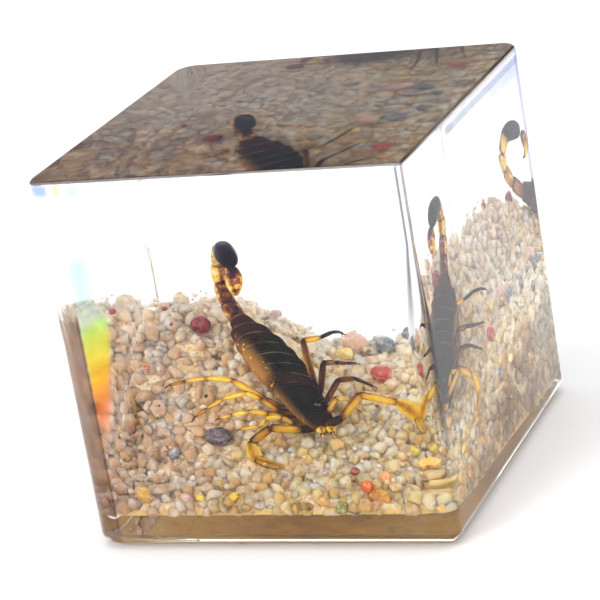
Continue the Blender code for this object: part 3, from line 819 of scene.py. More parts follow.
def specimen_tree():
    """What the room round the scorpion is measured with."""
    corners, faces = [], []
    for name in SPECIMEN_PIECES:
        mesh = bpy.data.objects[name].data
        start = len(corners)
        corners += [vert.co.copy() for vert in mesh.vertices]
        faces += [tuple(start + index for index in face.vertices) for face in mesh.polygons]
    return BVHTree.FromPolygons(corners, faces)


# ---- the block ------------------------------------------------------------------


def outline(z):
    """The block's plan at a height: each point, the way it faces, and how much painted shade it
    takes.
    """
    points = []
    taper = ramp(z, TAPER_FROM, TAPER_TO)
    high = ramp(z, HIGH_FROM, HIGH_TO)
    corners = zip(CORNERS, CORNER_RADII_LOW, CORNER_RADII_HIGH, CORNER_PAINTED_SHADE)
    for index, ((side_x, side_y), radius_low, radius_high, darkness) in enumerate(corners):
        radius = mix(radius_low, radius_high, taper)
        centre = Vector((side_x * (WIDTH / 2 - radius), side_y * (DEPTH / 2 - radius)))
        for step, (low_dark, high_dark) in enumerate(zip(*darkness)):
            angle = math.radians(90) * (index - 1 + step / CORNER_STEPS)
            facing = Vector((math.cos(angle), math.sin(angle)))
            # Painted shade of this step round the corner
            edge = mix(low_dark, high_dark, high)
            if index == 0:
                edge *= ramp(z, FRONT_RIGHT_FROM, FRONT_RIGHT_TO)
            points.append((centre + radius * facing, facing, edge))
    return points


def ring_edges(bm, points):
    """A closed loop of edges through points of (x, y, z, how much painted edge shade)."""
    layer = bm.verts.layers.float["edge"]
    verts = []
    for point in points:
        verts.append(bm.verts.new(point[:3]))
        verts[-1][layer] = point[3]
    return [bm.edges.new((verts[i - 1], verts[i])) for i in range(len(verts))]


def block_rings():
    """The block's sections, from its rounded lower edge to its rounded upper one, with painted
    shade on the edges.
    """
    rings = []
    for step in range(BOTTOM_EDGE_STEPS + 1):
        share = step / BOTTOM_EDGE_STEPS
        angle = math.radians(90) * (1 - share)
        points = []
        for point, facing, dark in outline(0.0):
            frontal = max(facing.x, -facing.y, -0.5 * facing.x)
            edge = mix(BOTTOM_EDGE_BACK, BOTTOM_EDGE_FRONT, frontal)
            place = point - facing * edge * (1 - math.cos(angle))
            # Painted shade along the lower edge
            dark = max(dark * share, BOTTOM_EDGE_PAINTED_SHADE[step])
            points.append((place.x, place.y, edge * (1 - math.sin(angle)), dark))
        rings.append(points)
    for z in RING_HEIGHTS:
        rings.append([(point.x, point.y, z, dark) for point, facing, dark in outline(z)])
    for step in range(TOP_EDGE_STEPS + 1):
        share = step / TOP_EDGE_STEPS
        angle = math.radians(90) * share
        inset = TOP_EDGE * (1 - math.cos(angle))
        z = HEIGHT - TOP_EDGE * (1 - math.sin(angle))
        points = []
        for point, facing, dark in outline(z):
            place = point - facing * inset
            # Painted shade: a dark line along the upper edge
            points.append((place.x, place.y, z, max(dark * (1 - share), math.sin(math.pi * share))))
        rings.append(points)
    return rings


def make_block(settings):
    """One clear block, its faces flat and its edges rounded."""
    bm = bmesh.new()
    # The edge layer holds the painted shade of the rounded edges
    bm.verts.layers.float.new("edge")
    rings = [ring_edges(bm, points) for points in block_rings()]
    for lower, upper in zip(rings, rings[1:]):
        bmesh.ops.bridge_loops(bm, edges=lower + upper)
    bmesh.ops.contextual_create(bm, geom=rings[0])
    bmesh.ops.contextual_create(bm, geom=rings[-1])
    block = add_object("resin_block", mesh_of(bm, "resin_block"), clear_resin_finish(settings))
    weighted = block.modifiers.new("Flat faces stay flat", "WEIGHTED_NORMAL")
    weighted.weight = 100
    apply_modifiers(block)
    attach(block, "root")
    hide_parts("resin_base", "resin_cover")


# ---- the gravel -----------------------------------------------------------------


def pour_height(y):
    """Height of the gravel's underside, which falls towards the back."""
    return mix(POUR_FRONT, POUR_BACK, (y + DEPTH / 2) / DEPTH)


def profile_height(profile, y):
    """Height of a bank profile, given in millimetres, at a distance along Y."""
    at = y / MM
    for (start, low), (end, high) in zip(profile, profile[1:]):
        if at <= end:
            return mix(low, high, ramp(at, start, end)) * MM
    return profile[-1][1] * MM


def bank_height(x, y):
    """The bank is high at the back left, and falls over a shoulder to the right."""
    start = SHOULDER_AT_MIDDLE - SHOULDER_LEAN * y
    share = ramp(x, start, start + SHOULDER_WIDTH)
    share = share * share * (3 - 2 * share)
    return mix(profile_height(BANK_LEFT, y), profile_height(BANK_RIGHT, y), share)


def wall_room(x, y):
    """How far a spot is inside the gravel's plan, a rectangle with round corners."""
    over_x = abs(x) - (WIDTH / 2 - GRAVEL_WALL - GRAVEL_CORNER)
    over_y = abs(y) - (DEPTH / 2 - GRAVEL_WALL - GRAVEL_CORNER)
    beyond = math.hypot(max(over_x, 0.0), max(over_y, 0.0))
    return GRAVEL_CORNER - beyond - min(max(over_x, over_y), 0.0)


def round_corner(x, y, half_x, half_y, radius):
    """Moves a point of a rectangle so that the rectangle's corners become round."""
    over_x = abs(x) - (half_x - radius)
    over_y = abs(y) - (half_y - radius)
    if over_x <= 0 or over_y <= 0:
        return x, y
    pull = max(over_x, over_y) / math.hypot(over_x, over_y)
    near_x = math.copysign(half_x - radius + over_x * pull, x)
    near_y = math.copysign(half_y - radius + over_y * pull, y)
    return near_x, near_y


# The bedding's outline going up, in millimetres: inset from the gravel's walls, and height over
# the underside
BEDDING_FOOT = ((1.0, 0.0), (0.9, 0.15), (1.0, 0.5), (1.05, 1.0))
BEDDING_CORNER = 3.2 * MM
BEDDING_COLUMNS = 90
BEDDING_COVER = 0.8 * MM
BEDDING_UNDER_SPECIMEN = 0.5 * MM

# Widths of the lumps in the bank's surface
BROAD_LUMP = 2.3 * MM
FINE_LUMP = 1.0 * MM

# Stones lie in the outer layer of the bank, some of them large. Last come the least radii, the
# gap to the scorpion and how far a stone may be sunk into a named one.
FORM_COUNT = 12
BANK_LAYER = 1.9 * MM
BANK_TOP = 24 * MM
LARGE_SHARE = 0.08
LARGE_SIZE = 1.35
LEAST_STONE = 0.35 * MM
LEAST_CRUMB = 0.12 * MM
SPECIMEN_GAP = 0.12 * MM
STONE_SUNK = 0.25 * MM


def make_bedding(specimen):
    """The bank's inside and its flat underside, which show between the stones."""
    bm = bmesh.new()
    upper = bm.verts.layers.float.new("upper")
    bmesh.ops.create_grid(bm, x_segments=BEDDING_COLUMNS, y_segments=BEDDING_COLUMNS, size=1.0)
    unit = {vert: vert.co.copy() for vert in bm.verts}

    def plan(vert, inset):
        half_x = WIDTH / 2 - GRAVEL_WALL - inset * MM
        half_y = DEPTH / 2 - GRAVEL_WALL - inset * MM
        at = unit[vert]
        return round_corner(at.x * half_x, at.y * half_y, half_x, half_y, BEDDING_CORNER)

    top_inset, top_rise = BEDDING_FOOT[-1]
    for vert in bm.verts:
        x, y = plan(vert, top_inset)
        top = surface_at(x, y) - BEDDING_COVER
        hit = specimen.ray_cast(Vector((x, y, 0)), UPWARD)[0]
        if hit:
            top = min(top, hit.z - BEDDING_UNDER_SPECIMEN)
        vert.co = (x, y, max(top, pour_height(y) + (top_rise + 0.2) * MM))
        vert[upper] = 1.0
    rim = [edge for edge in bm.edges if edge.is_boundary]
    for inset, rise in reversed(BEDDING_FOOT):
        before = {vert for edge in rim for vert in edge.verts}
        made = bmesh.ops.extrude_edge_only(bm, edges=rim)["geom"]
        rim = [item for item in made if isinstance(item, bmesh.types.BMEdge) and item.is_boundary]
        for vert in (item for item in made if isinstance(item, bmesh.types.BMVert)):
            beside = (edge.other_vert(vert) for edge in vert.link_edges)
            unit[vert] = unit[next(other for other in beside if other in before)]
            x, y = plan(vert, inset)
            vert.co = (x, y, pour_height(y) + rise * MM)
            vert[upper] = ramp(rise, 0.3, 0.9)
    bmesh.ops.contextual_create(bm, geom=rim)
    mesh = mesh_of(bm, "gravel_bedding")
    mesh.set_sharp_from_angle(angle=math.radians(50))
    bedding = add_object("gravel_bedding", mesh, bedding_finish())
    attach(bedding, "root")
    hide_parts("gravel_bed")


def random_direction(rng):
    z = rng.uniform(-1, 1)
    turn = rng.uniform(0, 2 * math.pi)
    flat = math.sqrt(1 - z * z)
    return Vector((flat * math.cos(turn), flat * math.sin(turn), z))


def random_turn(rng):
    """Angles of a turn about all three axes."""
    return [rng.uniform(0, 2 * math.pi) for _ in range(3)]


# A crushed stone's lumps, each (how strong, how fine), and how far from its middle it is cut flat
STONE_LUMPS = ((0.42, 1.3), (0.2, 2.9))
STONE_CUTS = (0.66, 0.86)
# A worn stone's lumps
WORN_LUMPS = ((0.16, 1.6), (0.04, 5))


def swollen(place, lumps, start):
    """How far out a point of a stone lies, for lumps of noise that begin at start."""
    return sum((strength * noise.noise(place * fine + start) for strength, fine in lumps), 1)


def crushed_form(rng, subdivisions, flats):
    """A crushed stone with a radius of about 1, knocked flat on a few sides."""
    bm = bmesh.new()
    bmesh.ops.create_icosphere(bm, subdivisions=subdivisions, radius=1.0)
    start = random_direction(rng) * 40
    for vert in bm.verts:
        vert.co *= swollen(vert.co, STONE_LUMPS, start)
    for _ in range(flats):
        facing = random_direction(rng)
        bmesh.ops.bisect_plane(
            bm,
            geom=bm.verts[:] + bm.edges[:] + bm.faces[:],
            plane_co=facing * rng.uniform(*STONE_CUTS),
            plane_no=facing,
            clear_outer=True,
        )
        rim = [edge for edge in bm.edges if edge.is_boundary]
        if rim:
            bmesh.ops.contextual_create(bm, geom=rim)
    bmesh.ops.remove_doubles(bm, verts=bm.verts, dist=0.02)
    bmesh.ops.triangulate(bm, faces=bm.faces)
    return bm


def laying_tree(forms):
    """Geometry nodes that put a chosen form, turned and sized, on every point."""
    tree = bpy.data.node_groups.new("Lay stones", "GeometryNodeTree")
    for way in ("INPUT", "OUTPUT"):
        tree.interface.new_socket(name="Geometry", in_out=way, socket_type="NodeSocketGeometry")
    look = Look(tree)

    def read(name, kind):
        settings = {"data_type": kind}
        return look.node("GeometryNodeInputNamedAttribute", settings, {"Name": name}, "Attribute")

    source = {"Collection": forms, "Separate Children": True, "Reset Children": True}
    laid = look.node("GeometryNodeInstanceOnPoints", {}, {
        "Points": look.node("NodeGroupInput", {}, {}),
        "Instance": look.node("GeometryNodeCollectionInfo", {}, source),
        "Pick Instance": True,
        "Instance Index": read("form", "INT"),
        "Rotation": read("turn", "FLOAT_VECTOR"),
        "Scale": read("size", "FLOAT_VECTOR"),
    })
    stones = look.node("GeometryNodeRealizeInstances", {}, {"Geometry": laid})
    look.join(stones, tree.nodes.new("NodeGroupOutput").inputs[0])
    return tree


def press_to_walls(mesh):
    """Stones that reach past the gravel's walls or underside lie flat against them."""
    count = len(mesh.vertices)
    places = np.zeros(count * 3, np.float32)
    mesh.vertices.foreach_get("co", places)
    places = places.reshape(count, 3)
    inner = np.array([WIDTH / 2, DEPTH / 2]) - GRAVEL_WALL - GRAVEL_CORNER
    over = np.abs(places[:, :2]) - inner
    beyond = np.maximum(over, 0)
    reach = np.maximum(np.linalg.norm(beyond, axis=1), 1e-9)
    pull = np.minimum(1.0, GRAVEL_CORNER / reach)
    kept = np.minimum(over, 0) + beyond * pull[:, None]
    places[:, :2] = np.sign(places[:, :2]) * (inner + kept)
    floor = mix(POUR_FRONT, POUR_BACK, places[:, 1] / DEPTH + 0.5)
    places[:, 2] = np.maximum(places[:, 2], floor + 0.02 * MM)
    mesh.vertices.foreach_set("co", places.ravel())
    mesh.update()


def lay_stones(name, forms, spots, material):
    """One mesh of many stones. Each spot is (place, size, turn, form, tint)."""
    mesh = bpy.data.meshes.new(name)
    mesh.vertices.add(len(spots))
    places, sizes, turns, chosen, tints = zip(*spots)
    mesh.vertices.foreach_set("co", [part for place in places for part in place])
    for key, triples in (("size", sizes), ("turn", turns)):
        data = mesh.attributes.new(key, "FLOAT_VECTOR", "POINT").data
        data.foreach_set("vector", [part for triple in triples for part in triple])
    mesh.attributes.new("form", "INT", "POINT").data.foreach_set("value", chosen)
    mesh.attributes.new("tint", "FLOAT", "POINT").data.foreach_set("value", tints)
    item = add_object(name, mesh)
    item.modifiers.new("Lay", "NODES").node_group = laying_tree(forms)
    apply_modifiers(item)
    mesh = item.data
    for key in ("size", "turn", "form"):
        mesh.attributes.remove(mesh.attributes[key])
    press_to_walls(mesh)
    mesh.materials.clear()
    mesh.materials.append(material)
    mesh.shade_smooth()
    mesh.set_sharp_from_angle(angle=math.radians(75))
    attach(item, "root")
    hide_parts("gravel_bed")


def free_radius(place, radius, specimen, least):
    """The radius that a stone can have beside the scorpion and the named stones, or 0."""
    near, normal, _, distance = specimen.find_nearest(place)
    if (place - near).dot(normal) < -0.7 * distance:
        return 0.0
    radius = min(radius, distance - SPECIMEN_GAP)
    for centre, half_sizes, *_ in STONES.values():
        gap = (place - Vector(centre) * MM).length - max(half_sizes) * MM
        radius = min(radius, gap + STONE_SUNK)
    return radius if radius >= least else 0.0


def surface_at(x, y):
    """The bank's height with its unevenness."""
    broad = noise.noise(Vector((x, y, 0)) / BROAD_LUMP)
    fine = noise.noise(Vector((x, y, 3 * MM)) / FINE_LUMP)
    return bank_height(x, y) + (0.75 * broad + 0.35 * fine) * MM


def stone_spots(settings, specimen):
    """Places all through the outer layer of the bank, with a size for each."""
    rng = random.Random(settings.seed)
    pitch = settings.pitch
    spots = []
    columns = int(WIDTH / pitch) + 1
    rows = int(DEPTH / pitch) + 1
    layers = int(BANK_TOP / pitch) + 1
    for layer, row, column in product(range(layers), range(rows), range(columns)):
        jitter = [rng.uniform(-0.42, 0.42) for _ in range(3)]
        x = (column - columns / 2 + 0.5 * (layer % 2) + jitter[0]) * pitch
        y = (row - rows / 2 + 0.5 * (layer % 2) + jitter[1]) * pitch
        z = POUR_BACK + (layer + 0.5 + jitter[2]) * pitch
        size = rng.uniform(0.7, 1.04) * pitch
        if rng.random() < LARGE_SHARE:
            size *= LARGE_SIZE
        turn = random_turn(rng)
        squash = (1.0, rng.uniform(0.72, 1.0), rng.uniform(0.6, 0.9))
        form = rng.randrange(FORM_COUNT)
        tint = rng.random()
        room = wall_room(x, y)
        cover = surface_at(x, y) - z
        if room < 0.5 * size or cover < 0.25 * size or z < pour_height(y) + 0.1 * size:
            continue
        if room > BANK_LAYER and cover > BANK_LAYER:
            continue
        place = Vector((x, y, z))
        size = free_radius(place, size, specimen, LEAST_STONE)
        if size:
            spots.append((place, [size * part for part in squash], turn, form, tint))
    return spots


def crumb_spots(settings, specimen):
    """Small broken pieces that lie all over the surface of the bank."""
    rng = random.Random(settings.seed + 1)
    spots = []
    while len(spots) < settings.crumbs:
        x = rng.uniform(-WIDTH / 2, WIDTH / 2)
        y = rng.uniform(-DEPTH / 2, DEPTH / 2)
        size = rng.uniform(0.18, 0.42) * MM
        turn = random_turn(rng)
        form = rng.randrange(FORM_COUNT)
        tint = rng.random()
        z = surface_at(x, y) + rng.uniform(0.1, 0.75) * MM
        if wall_room(x, y) < size:
            continue
        place = Vector((x, y, z))
        size = free_radius(place, size, specimen, LEAST_CRUMB)
        if size:
            spots.append((place, [size] * 3, turn, form, tint))
    return spots


def make_gravel(settings):
    """The bedding, and on it the quartz in three meshes from front to back, and the crumbs."""
    specimen = specimen_tree()
    make_bedding(specimen)
    rng = random.Random(settings.seed + 7)
    forms = bpy.data.collections.new("stone_forms")
    bpy.context.scene.collection.children.link(forms)
    for index in range(FORM_COUNT):
        mesh = mesh_of(crushed_form(rng, 1, 3), "form")
        forms.objects.link(bpy.data.objects.new(f"form_{index:02d}", mesh))
    quartz = quartz_finish()
    spots = stone_spots(settings, specimen)
    spots.sort(key=lambda spot: spot[0].y)
    third = len(spots) // 3
    lay_stones("gravel_front", forms, spots[:third], quartz)
    lay_stones("gravel_middle", forms, spots[third : 2 * third], quartz)
    lay_stones("gravel_back", forms, spots[2 * third :], quartz)
    lay_stones("gravel_crumbs", forms, crumb_spots(settings, specimen), quartz)
    for form in list(forms.objects):
        bpy.data.objects.remove(form, do_unlink=True)
    bpy.data.collections.remove(forms)


def make_stones():
    """The stones that are nodes of the frame: worn into lumpy, rounded forms."""
    for name, (centre, half_sizes, dark, light) in STONES.items():
        bm = bmesh.new()
        bmesh.ops.create_icosphere(bm, subdivisions=4, radius=1.0)
        start = Vector(centre)
        for vert in bm.verts:
            wear = swollen(vert.co, WORN_LUMPS, start)
            sizes = zip(centre, vert.co, half_sizes)
            vert.co = [middle * MM + at * half * MM * wear for middle, at, half in sizes]
        stone = add_object(name + "_worn", mesh_of(bm, name), stone_finish(name, dark, light))
        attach(stone, "root")
        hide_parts(name)


def make_chips(settings):
    """Coloured chips among the gravel, joined to one piece."""
    rng = random.Random(settings.seed + 3)
    whole = bmesh.new()
    paint = whole.verts.layers.float_color.new("colour")
    for centre, half, colour in CHIPS:
        form = crushed_form(rng, 2, 4)
        turn = Euler([rng.uniform(0, 6.28) for _ in range(3)]).to_matrix().to_4x4()
        sizes = [half * MM * rng.uniform(0.75, 1.15) for _ in range(3)]
        place = Matrix.Translation(Vector(centre) * MM)
        form.transform(place @ turn @ Matrix.Diagonal((*sizes, 1.0)))
        mesh = mesh_of(form, "chip")
        before = len(whole.verts)
        whole.from_mesh(mesh)
        bpy.data.meshes.remove(mesh)
        whole.verts.ensure_lookup_table()
        for vert in whole.verts[before:]:
            vert[paint] = (*colour, 1.0)
    chips = add_object("coloured_chips", mesh_of(whole, "coloured_chips"), chip_finish())
    press_to_walls(chips.data)
    chips.data.set_sharp_from_angle(angle=math.radians(50))
    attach(chips, "root")
    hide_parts("gravel_bed")


# ---- lofted limbs ---------------------------------------------------------------


def frames_along(places, across):
    """Axes at each place of a path, turned as little as they can be along it."""
    frames = []
    last = len(places) - 1
    for index, place in enumerate(places):
        forward = (places[min(index + 1, last)] - places[max(index - 1, 0)]).normalized()
        across = (across - across.dot(forward) * forward).normalized()
        frames.append((place, across, across.cross(forward), forward))
    return frames


def add_ring(bm, axes, wide, deep, sides, ridges=0, ridge=0.0):
    """A section across a limb: an oval, with small ridges round it if they are asked for."""
    place, across, upward, forward = axes
    turned = Matrix((across * wide, upward * deep, forward)).transposed().to_4x4()
    circle = bmesh.ops.create_circle(
        bm, cap_ends=False, segments=sides, radius=1.0, matrix=Matrix.Translation(place) @ turned
    )["verts"]
    if ridges:
        for index, vert in enumerate(circle):
            swell = 1 + ridge * math.cos(2 * math.pi * ridges * index / sides)
            vert.co = place + (vert.co - place) * swell
    return circle


def edges_round(circle):
    """The edges of a ring, each once and in order."""
    return list(dict.fromkeys(edge for vert in circle for edge in vert.link_edges))


def bridge_rings(bm, rings):
    """Skins over the rings, in order, and closes both ends."""
    loops = [edges_round(circle) for circle in rings]
    for lower, upper in zip(loops, loops[1:]):
        bmesh.ops.bridge_loops(bm, edges=lower + upper)
    bmesh.ops.contextual_create(bm, geom=loops[0])
    bmesh.ops.contextual_create(bm, geom=loops[-1])


# One segment of a limb: share of its length, share of its radius, how much of a joint it is
SEGMENT = (
    (-0.02, 0.42, 1.0), (0.0, 0.72, 1.0), (0.05, 0.84, 0.8), (0.16, 0.92, 0.25), (0.4, 1.0, 0.0),
    (0.68, 1.02, 0.0), (0.86, 1.0, 0.2), (0.96, 0.92, 0.8), (1.0, 0.74, 1.0), (1.02, 0.4, 1.0),
)
# Painted shade along the ridges over and under the limbs
RIDGE_PAINTED_SHADE = 0.33


def painted_ridge_shade(vert, axes):
    """Painted shade: limbs are darkened along the ridges over and under them."""
    offset = (vert.co - axes[0]).normalized()
    return RIDGE_PAINTED_SHADE * ramp(abs(offset.dot(axes[2])), 0.62, 1.0)


def add_loft(bm, sections, across, sides, flat=1.0, ridges=0, ridge=0.0):
    """A closed form over sections of (place, radius, darkness, how much of a joint)."""
    dark_layer = bm.verts.layers.float["dark"]
    joint_layer = bm.verts.layers.float["joint"]
    all_axes = frames_along([place for place, *_ in sections], across)
    rings = []
    for axes, (_, radius, dark, joint) in zip(all_axes, sections):
        circle = add_ring(bm, axes, radius, radius * flat, sides, ridges, ridge)
        for vert in circle:
            # The segment's own darkness, and painted shade along its ridges
            vert[dark_layer] = dark + painted_ridge_shade(vert, axes)
            vert[joint_layer] = joint
        rings.append(circle)
    bridge_rings(bm, rings)


def add_segments(bm, joints, across, *shape):
    """A limb's closed segments, each narrow at the joints that it lies between."""
    for (*first, wide, dark), (*second, narrow) in zip(joints, (joint[:4] for joint in joints[1:])):
        start = Vector(first) * MM
        end = Vector(second) * MM
        sections = []
        for share, size, joint in SEGMENT:
            radius = mix(wide * MM, narrow * MM, ramp(share, 0, 1)) * size
            sections.append((start.lerp(end, share), radius, dark, joint))
        sideways = (end - start).cross(UPWARD) if across is None else across
        add_loft(bm, sections, sideways, *shape)


def add_path(bm, points, dark, across, *shape):
    """A closed curved form through points of (x, y, z, radius) in millimetres."""
    darkness = dark if isinstance(dark, tuple) else (dark,) * len(points)
    sections = []
    for (*place, radius), shade in zip(points, darkness):
        joint = 0.0 if sections else 1.0
        sections.append((Vector(place) * MM, radius * MM, shade, joint))
    add_loft(bm, sections, across, *shape)


def limb_bmesh():
    """A bmesh with the layers that the shell's finish reads."""
    bm = bmesh.new()
    bm.verts.layers.float.new("dark")
    bm.verts.layers.float.new("joint")
    return bm


def finish_limbs(name, bm, material):
    """A finished piece of the scorpion, smoothed over once."""
    item = add_object(name, mesh_of(bm, name), material)
    modifier = item.modifiers.new("Smooth", "SUBSURF")
    modifier.levels = 1
    modifier.render_levels = 1
    apply_modifiers(item)
    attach(item, "root")
    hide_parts("scorpion")


# The small hooks on the legs: (share of the length, radius), length, spread and drop
CLAW = ((0.0, 0.1), (0.35, 0.08), (0.7, 0.05), (1.0, 0.02))
CLAW_LENGTH = 0.65
CLAW_SPREAD = 0.3
CLAW_DROP = 0.3


def add_claws(bm, joints):
    """The two small hooks at the end of a leg."""
    before, tip = (Vector(joint[:3]) * MM for joint in joints[-2:])
    forward = (tip - before).normalized()
    side = forward.cross(UPWARD).normalized()
    for turn in (-1, 1):
        points = []
        for share, radius in CLAW:
            spread = side * turn * CLAW_SPREAD * math.sin(share * 1.8)
            drop = UPWARD * CLAW_DROP * share * share
            place = tip / MM + forward * share * CLAW_LENGTH + spread - drop
            points.append((*place, radius))
        add_path(bm, points, 0.8, side, *CLAW_SECTION)


def make_legs():
    """The four legs of each side, as one piece a side."""
    for side in ("left", "right"):
        bm = limb_bmesh()
        for name, joints in LEGS.items():
            if side in name:
                add_segments(bm, joints, None, *LEG_SECTION)
                add_claws(bm, joints)
        finish_limbs(f"legs_{side}", bm, amber_shell_finish(f"amber_legs_{side}", AMBER_STOPS, 0.6))


def make_arms():
    """Both claw arms: jointed arm, swollen hand and two fingers."""
    for side in ("left", "right"):
        bm = limb_bmesh()
        add_segments(bm, ARMS[f"arm_{side}"], None, *ARM_SECTION)
        add_path(bm, HANDS[f"hand_{side}"], 0.2, Vector((1, 0, 0)), *HAND_SECTION)
        for which in ("inner", "outer"):
            finger = FINGERS[f"finger_{side}_{which}"]
            add_path(bm, finger, 0.3, UPWARD, *FINGER_SECTION)
        finish_limbs(f"arm_{side}", bm, amber_shell_finish(f"amber_arm_{side}", AMBER_STOPS, 0.6))


def make_tail():
    """Four ridged segments, the dome of the fifth, and the sting with its bulb."""
    bm = limb_bmesh()
    across = Vector((0.89, 0.45, 0.0))
    add_segments(bm, TAIL_JOINTS, across, *TAIL_SECTION)
    add_path(bm, TAIL_DOME, DOME_DARKNESS, across, *DOME_SECTION)
    add_path(bm, STING, STING_DARKNESS, across, *STING_SECTION)
    finish_limbs("tail", bm, amber_shell_finish("amber_tail", TAIL_STOPS, 0.45, unevenness=1.5))


# ---- trunk and head -------------------------------------------------------------


def trunk_place(along):
    """A point of the trunk's axis, at a length in millimetres from the head."""
    share = along / TRUNK_LENGTH
    head_side = TRUNK_HEAD.lerp(TRUNK_ARCH, share)
    tail_side = TRUNK_ARCH.lerp(TRUNK_END, share)
    return head_side.lerp(tail_side, share)


# One plate of the back: share of its length, share of its size, how much of its hind rim's painted
# highlight it has
PLATE = (
    (0.0, 0.90, 0.0), (0.08, 0.95, 0.0), (0.3, 0.985, 0.0), (0.6, 1.0, 0.0), (0.85, 1.02, 0.0),
    (0.95, 1.035, 0.7), (1.03, 1.03, 1.0), (1.05, 0.98, 0.6), (1.06, 0.9, 0.0),
)
TRUNK_SIDES = 40
# Angles round the trunk, from the middle of the back: the plate's edge and where it is all amber
PLATE_REACH = 60
MEMBRANE_FROM = 94
TRUNK_ROLL = 22
# The plate reaches further round the carapace, by so many degrees
CARAPACE_REACH = 14


def trunk_axes(places):
    """Axes along the trunk, which is rolled a little onto its right side."""
    across = (TRUNK_END - TRUNK_HEAD).cross(UPWARD)
    rolled = Quaternion(TRUNK_END - TRUNK_HEAD, math.radians(TRUNK_ROLL)) @ across
    return frames_along(places, rolled)


def mark_back(vert, axes, plate_layer, reach):
    """How much of the back's dark plate a vert is, from its angle round the trunk."""
    offset = vert.co - axes[0]
    turn = math.degrees(math.atan2(abs(offset.dot(axes[1])), offset.dot(axes[2])))
    vert[plate_layer] = 1.0 - ramp(turn - reach, PLATE_REACH, MEMBRANE_FROM)


def trunk_layers(bm):
    return [bm.verts.layers.float.new(name) for name in ("plate", "rim", "rust")]


def make_trunk(settings):
    """Seven rings of the body, each flared over the next, dark above and amber at the sides."""
    bm = limb_bmesh()
    plate_layer, rim_highlight_layer, rust_layer = trunk_layers(bm)
    along = CARAPACE_LENGTH - TRUNK_OVERLAP
    next_widths = (*PLATE_HALF_WIDTHS[1:], TRUNK_END_WIDTH)
    next_depths = (*PLATE_HALF_DEPTHS[1:], TRUNK_END_DEPTH)
    plates = zip(PLATE_LENGTHS, PLATE_HALF_WIDTHS, next_widths, PLATE_HALF_DEPTHS, next_depths)
    for index, (length, wide, next_wide, deep, next_deep) in enumerate(plates):
        length += TRUNK_OVERLAP if index == 0 else 0.0
        places = [trunk_place(along + length * share) for share, *_ in PLATE]
        rings = []
        for axes, (share, size, rim) in zip(trunk_axes(places), PLATE):
            here_wide = mix(wide, next_wide, share * 0.5) * size * MM
            here_deep = mix(deep, next_deep, share * 0.5) * size * MM
            circle = add_ring(bm, axes, here_wide, here_deep, TRUNK_SIDES)
            plate = index + share
            reach = CARAPACE_REACH * ramp(plate, 1.5, 0) + 22 * ramp(plate, 4, 7)
            for vert in circle:
                mark_back(vert, axes, plate_layer, reach)
                # How much painted highlight the hind rim has here
                vert[rim_highlight_layer] = rim
                vert[rust_layer] = max(ramp(plate, 3.9, 6.5), 0.6 * ramp(plate, 1.4, 0.0))
            rings.append(circle)
        bridge_rings(bm, rings)
        along += length
    finish_limbs("trunk", bm, trunk_shell_finish("trunk_shell", settings))


# The carapace: place from its front edge, half width, half depth
CARAPACE = (
    (-0.35, 1.1, 0.4), (-0.1, 1.6, 0.62), (0.5, 1.98, 0.95), (1.6, 2.4, 1.2), (3.2, 2.85, 1.38),
    (4.9, 3.2, 1.5), (6.3, 3.45, 1.58), (6.9, 3.5, 1.6), (7.05, 3.3, 1.45),
)
FURROW_WIDTH = 0.22 * MM
FURROW_DEPTH = 0.2
# Eyes of one side: place along the trunk, how far aside and up, radius, segments and rings
EYES = (
    (2.6, 0.24, 1.42, 0.2, 16, 10), (0.15, 1.32, 0.42, 0.09, 10, 8),
    (0.43, 1.44, 0.42, 0.09, 10, 8), (0.71, 1.56, 0.42, 0.09, 10, 8),
)


def make_carapace(settings):
    """The plate over the head, with the furrow along its middle."""
    bm = limb_bmesh()
    plate_layer, rim_highlight_layer, rust_layer = trunk_layers(bm)
    places = [trunk_place(along) for along, *_ in CARAPACE]
    rings = []
    for axes, (along, wide, deep) in zip(trunk_axes(places), CARAPACE):
        circle = add_ring(bm, axes, wide * MM, deep * MM, TRUNK_SIDES)
        for vert in circle:
            mark_back(vert, axes, plate_layer, CARAPACE_REACH)
            offset = vert.co - axes[0]
            side = abs(offset.dot(axes[1]))
            if offset.dot(axes[2]) > 0:
                furrow = math.exp(-((side / FURROW_WIDTH) ** 2)) * ramp(along, 2.0, 4.5)
                vert.co -= axes[2] * FURROW_DEPTH * MM * furrow
            vert[rust_layer] = 0.35 * ramp(along, 1.2, 0.0)
            # Painted highlight along the carapace's hind rim
            vert[rim_highlight_layer] = ramp(along, 6.7, 6.9)
        rings.append(circle)
    bridge_rings(bm, rings)
    finish_limbs("carapace", bm, trunk_shell_finish("carapace_shell", settings))


def make_jaws():
    """Two stout jaws under the carapace's edge, each with two teeth."""
    bm = limb_bmesh()
    across = (TRUNK_END - TRUNK_HEAD).cross(UPWARD)
    for points in JAWS.values():
        add_path(bm, points, 0.3, across, *JAW_SECTION)
        base = Vector(points[-1][:3])
        for turn in (-1, 1):
            side = across.normalized() * turn * 0.22
            root = base + side * 0.6
            tip = root + Vector((0.12, -0.55, -0.25))
            middle = base + side * 1.3 + Vector((0.1, -0.3, -0.12))
            tooth = ((*root, 0.2), (*middle, 0.16), (*tip, 0.04))
            add_path(bm, tooth, 0.5, across, *TOOTH_SECTION)
    finish_limbs("jaws", bm, amber_shell_finish("amber_jaws", AMBER_STOPS, 0.2, 0.5 * MM, 0.8))


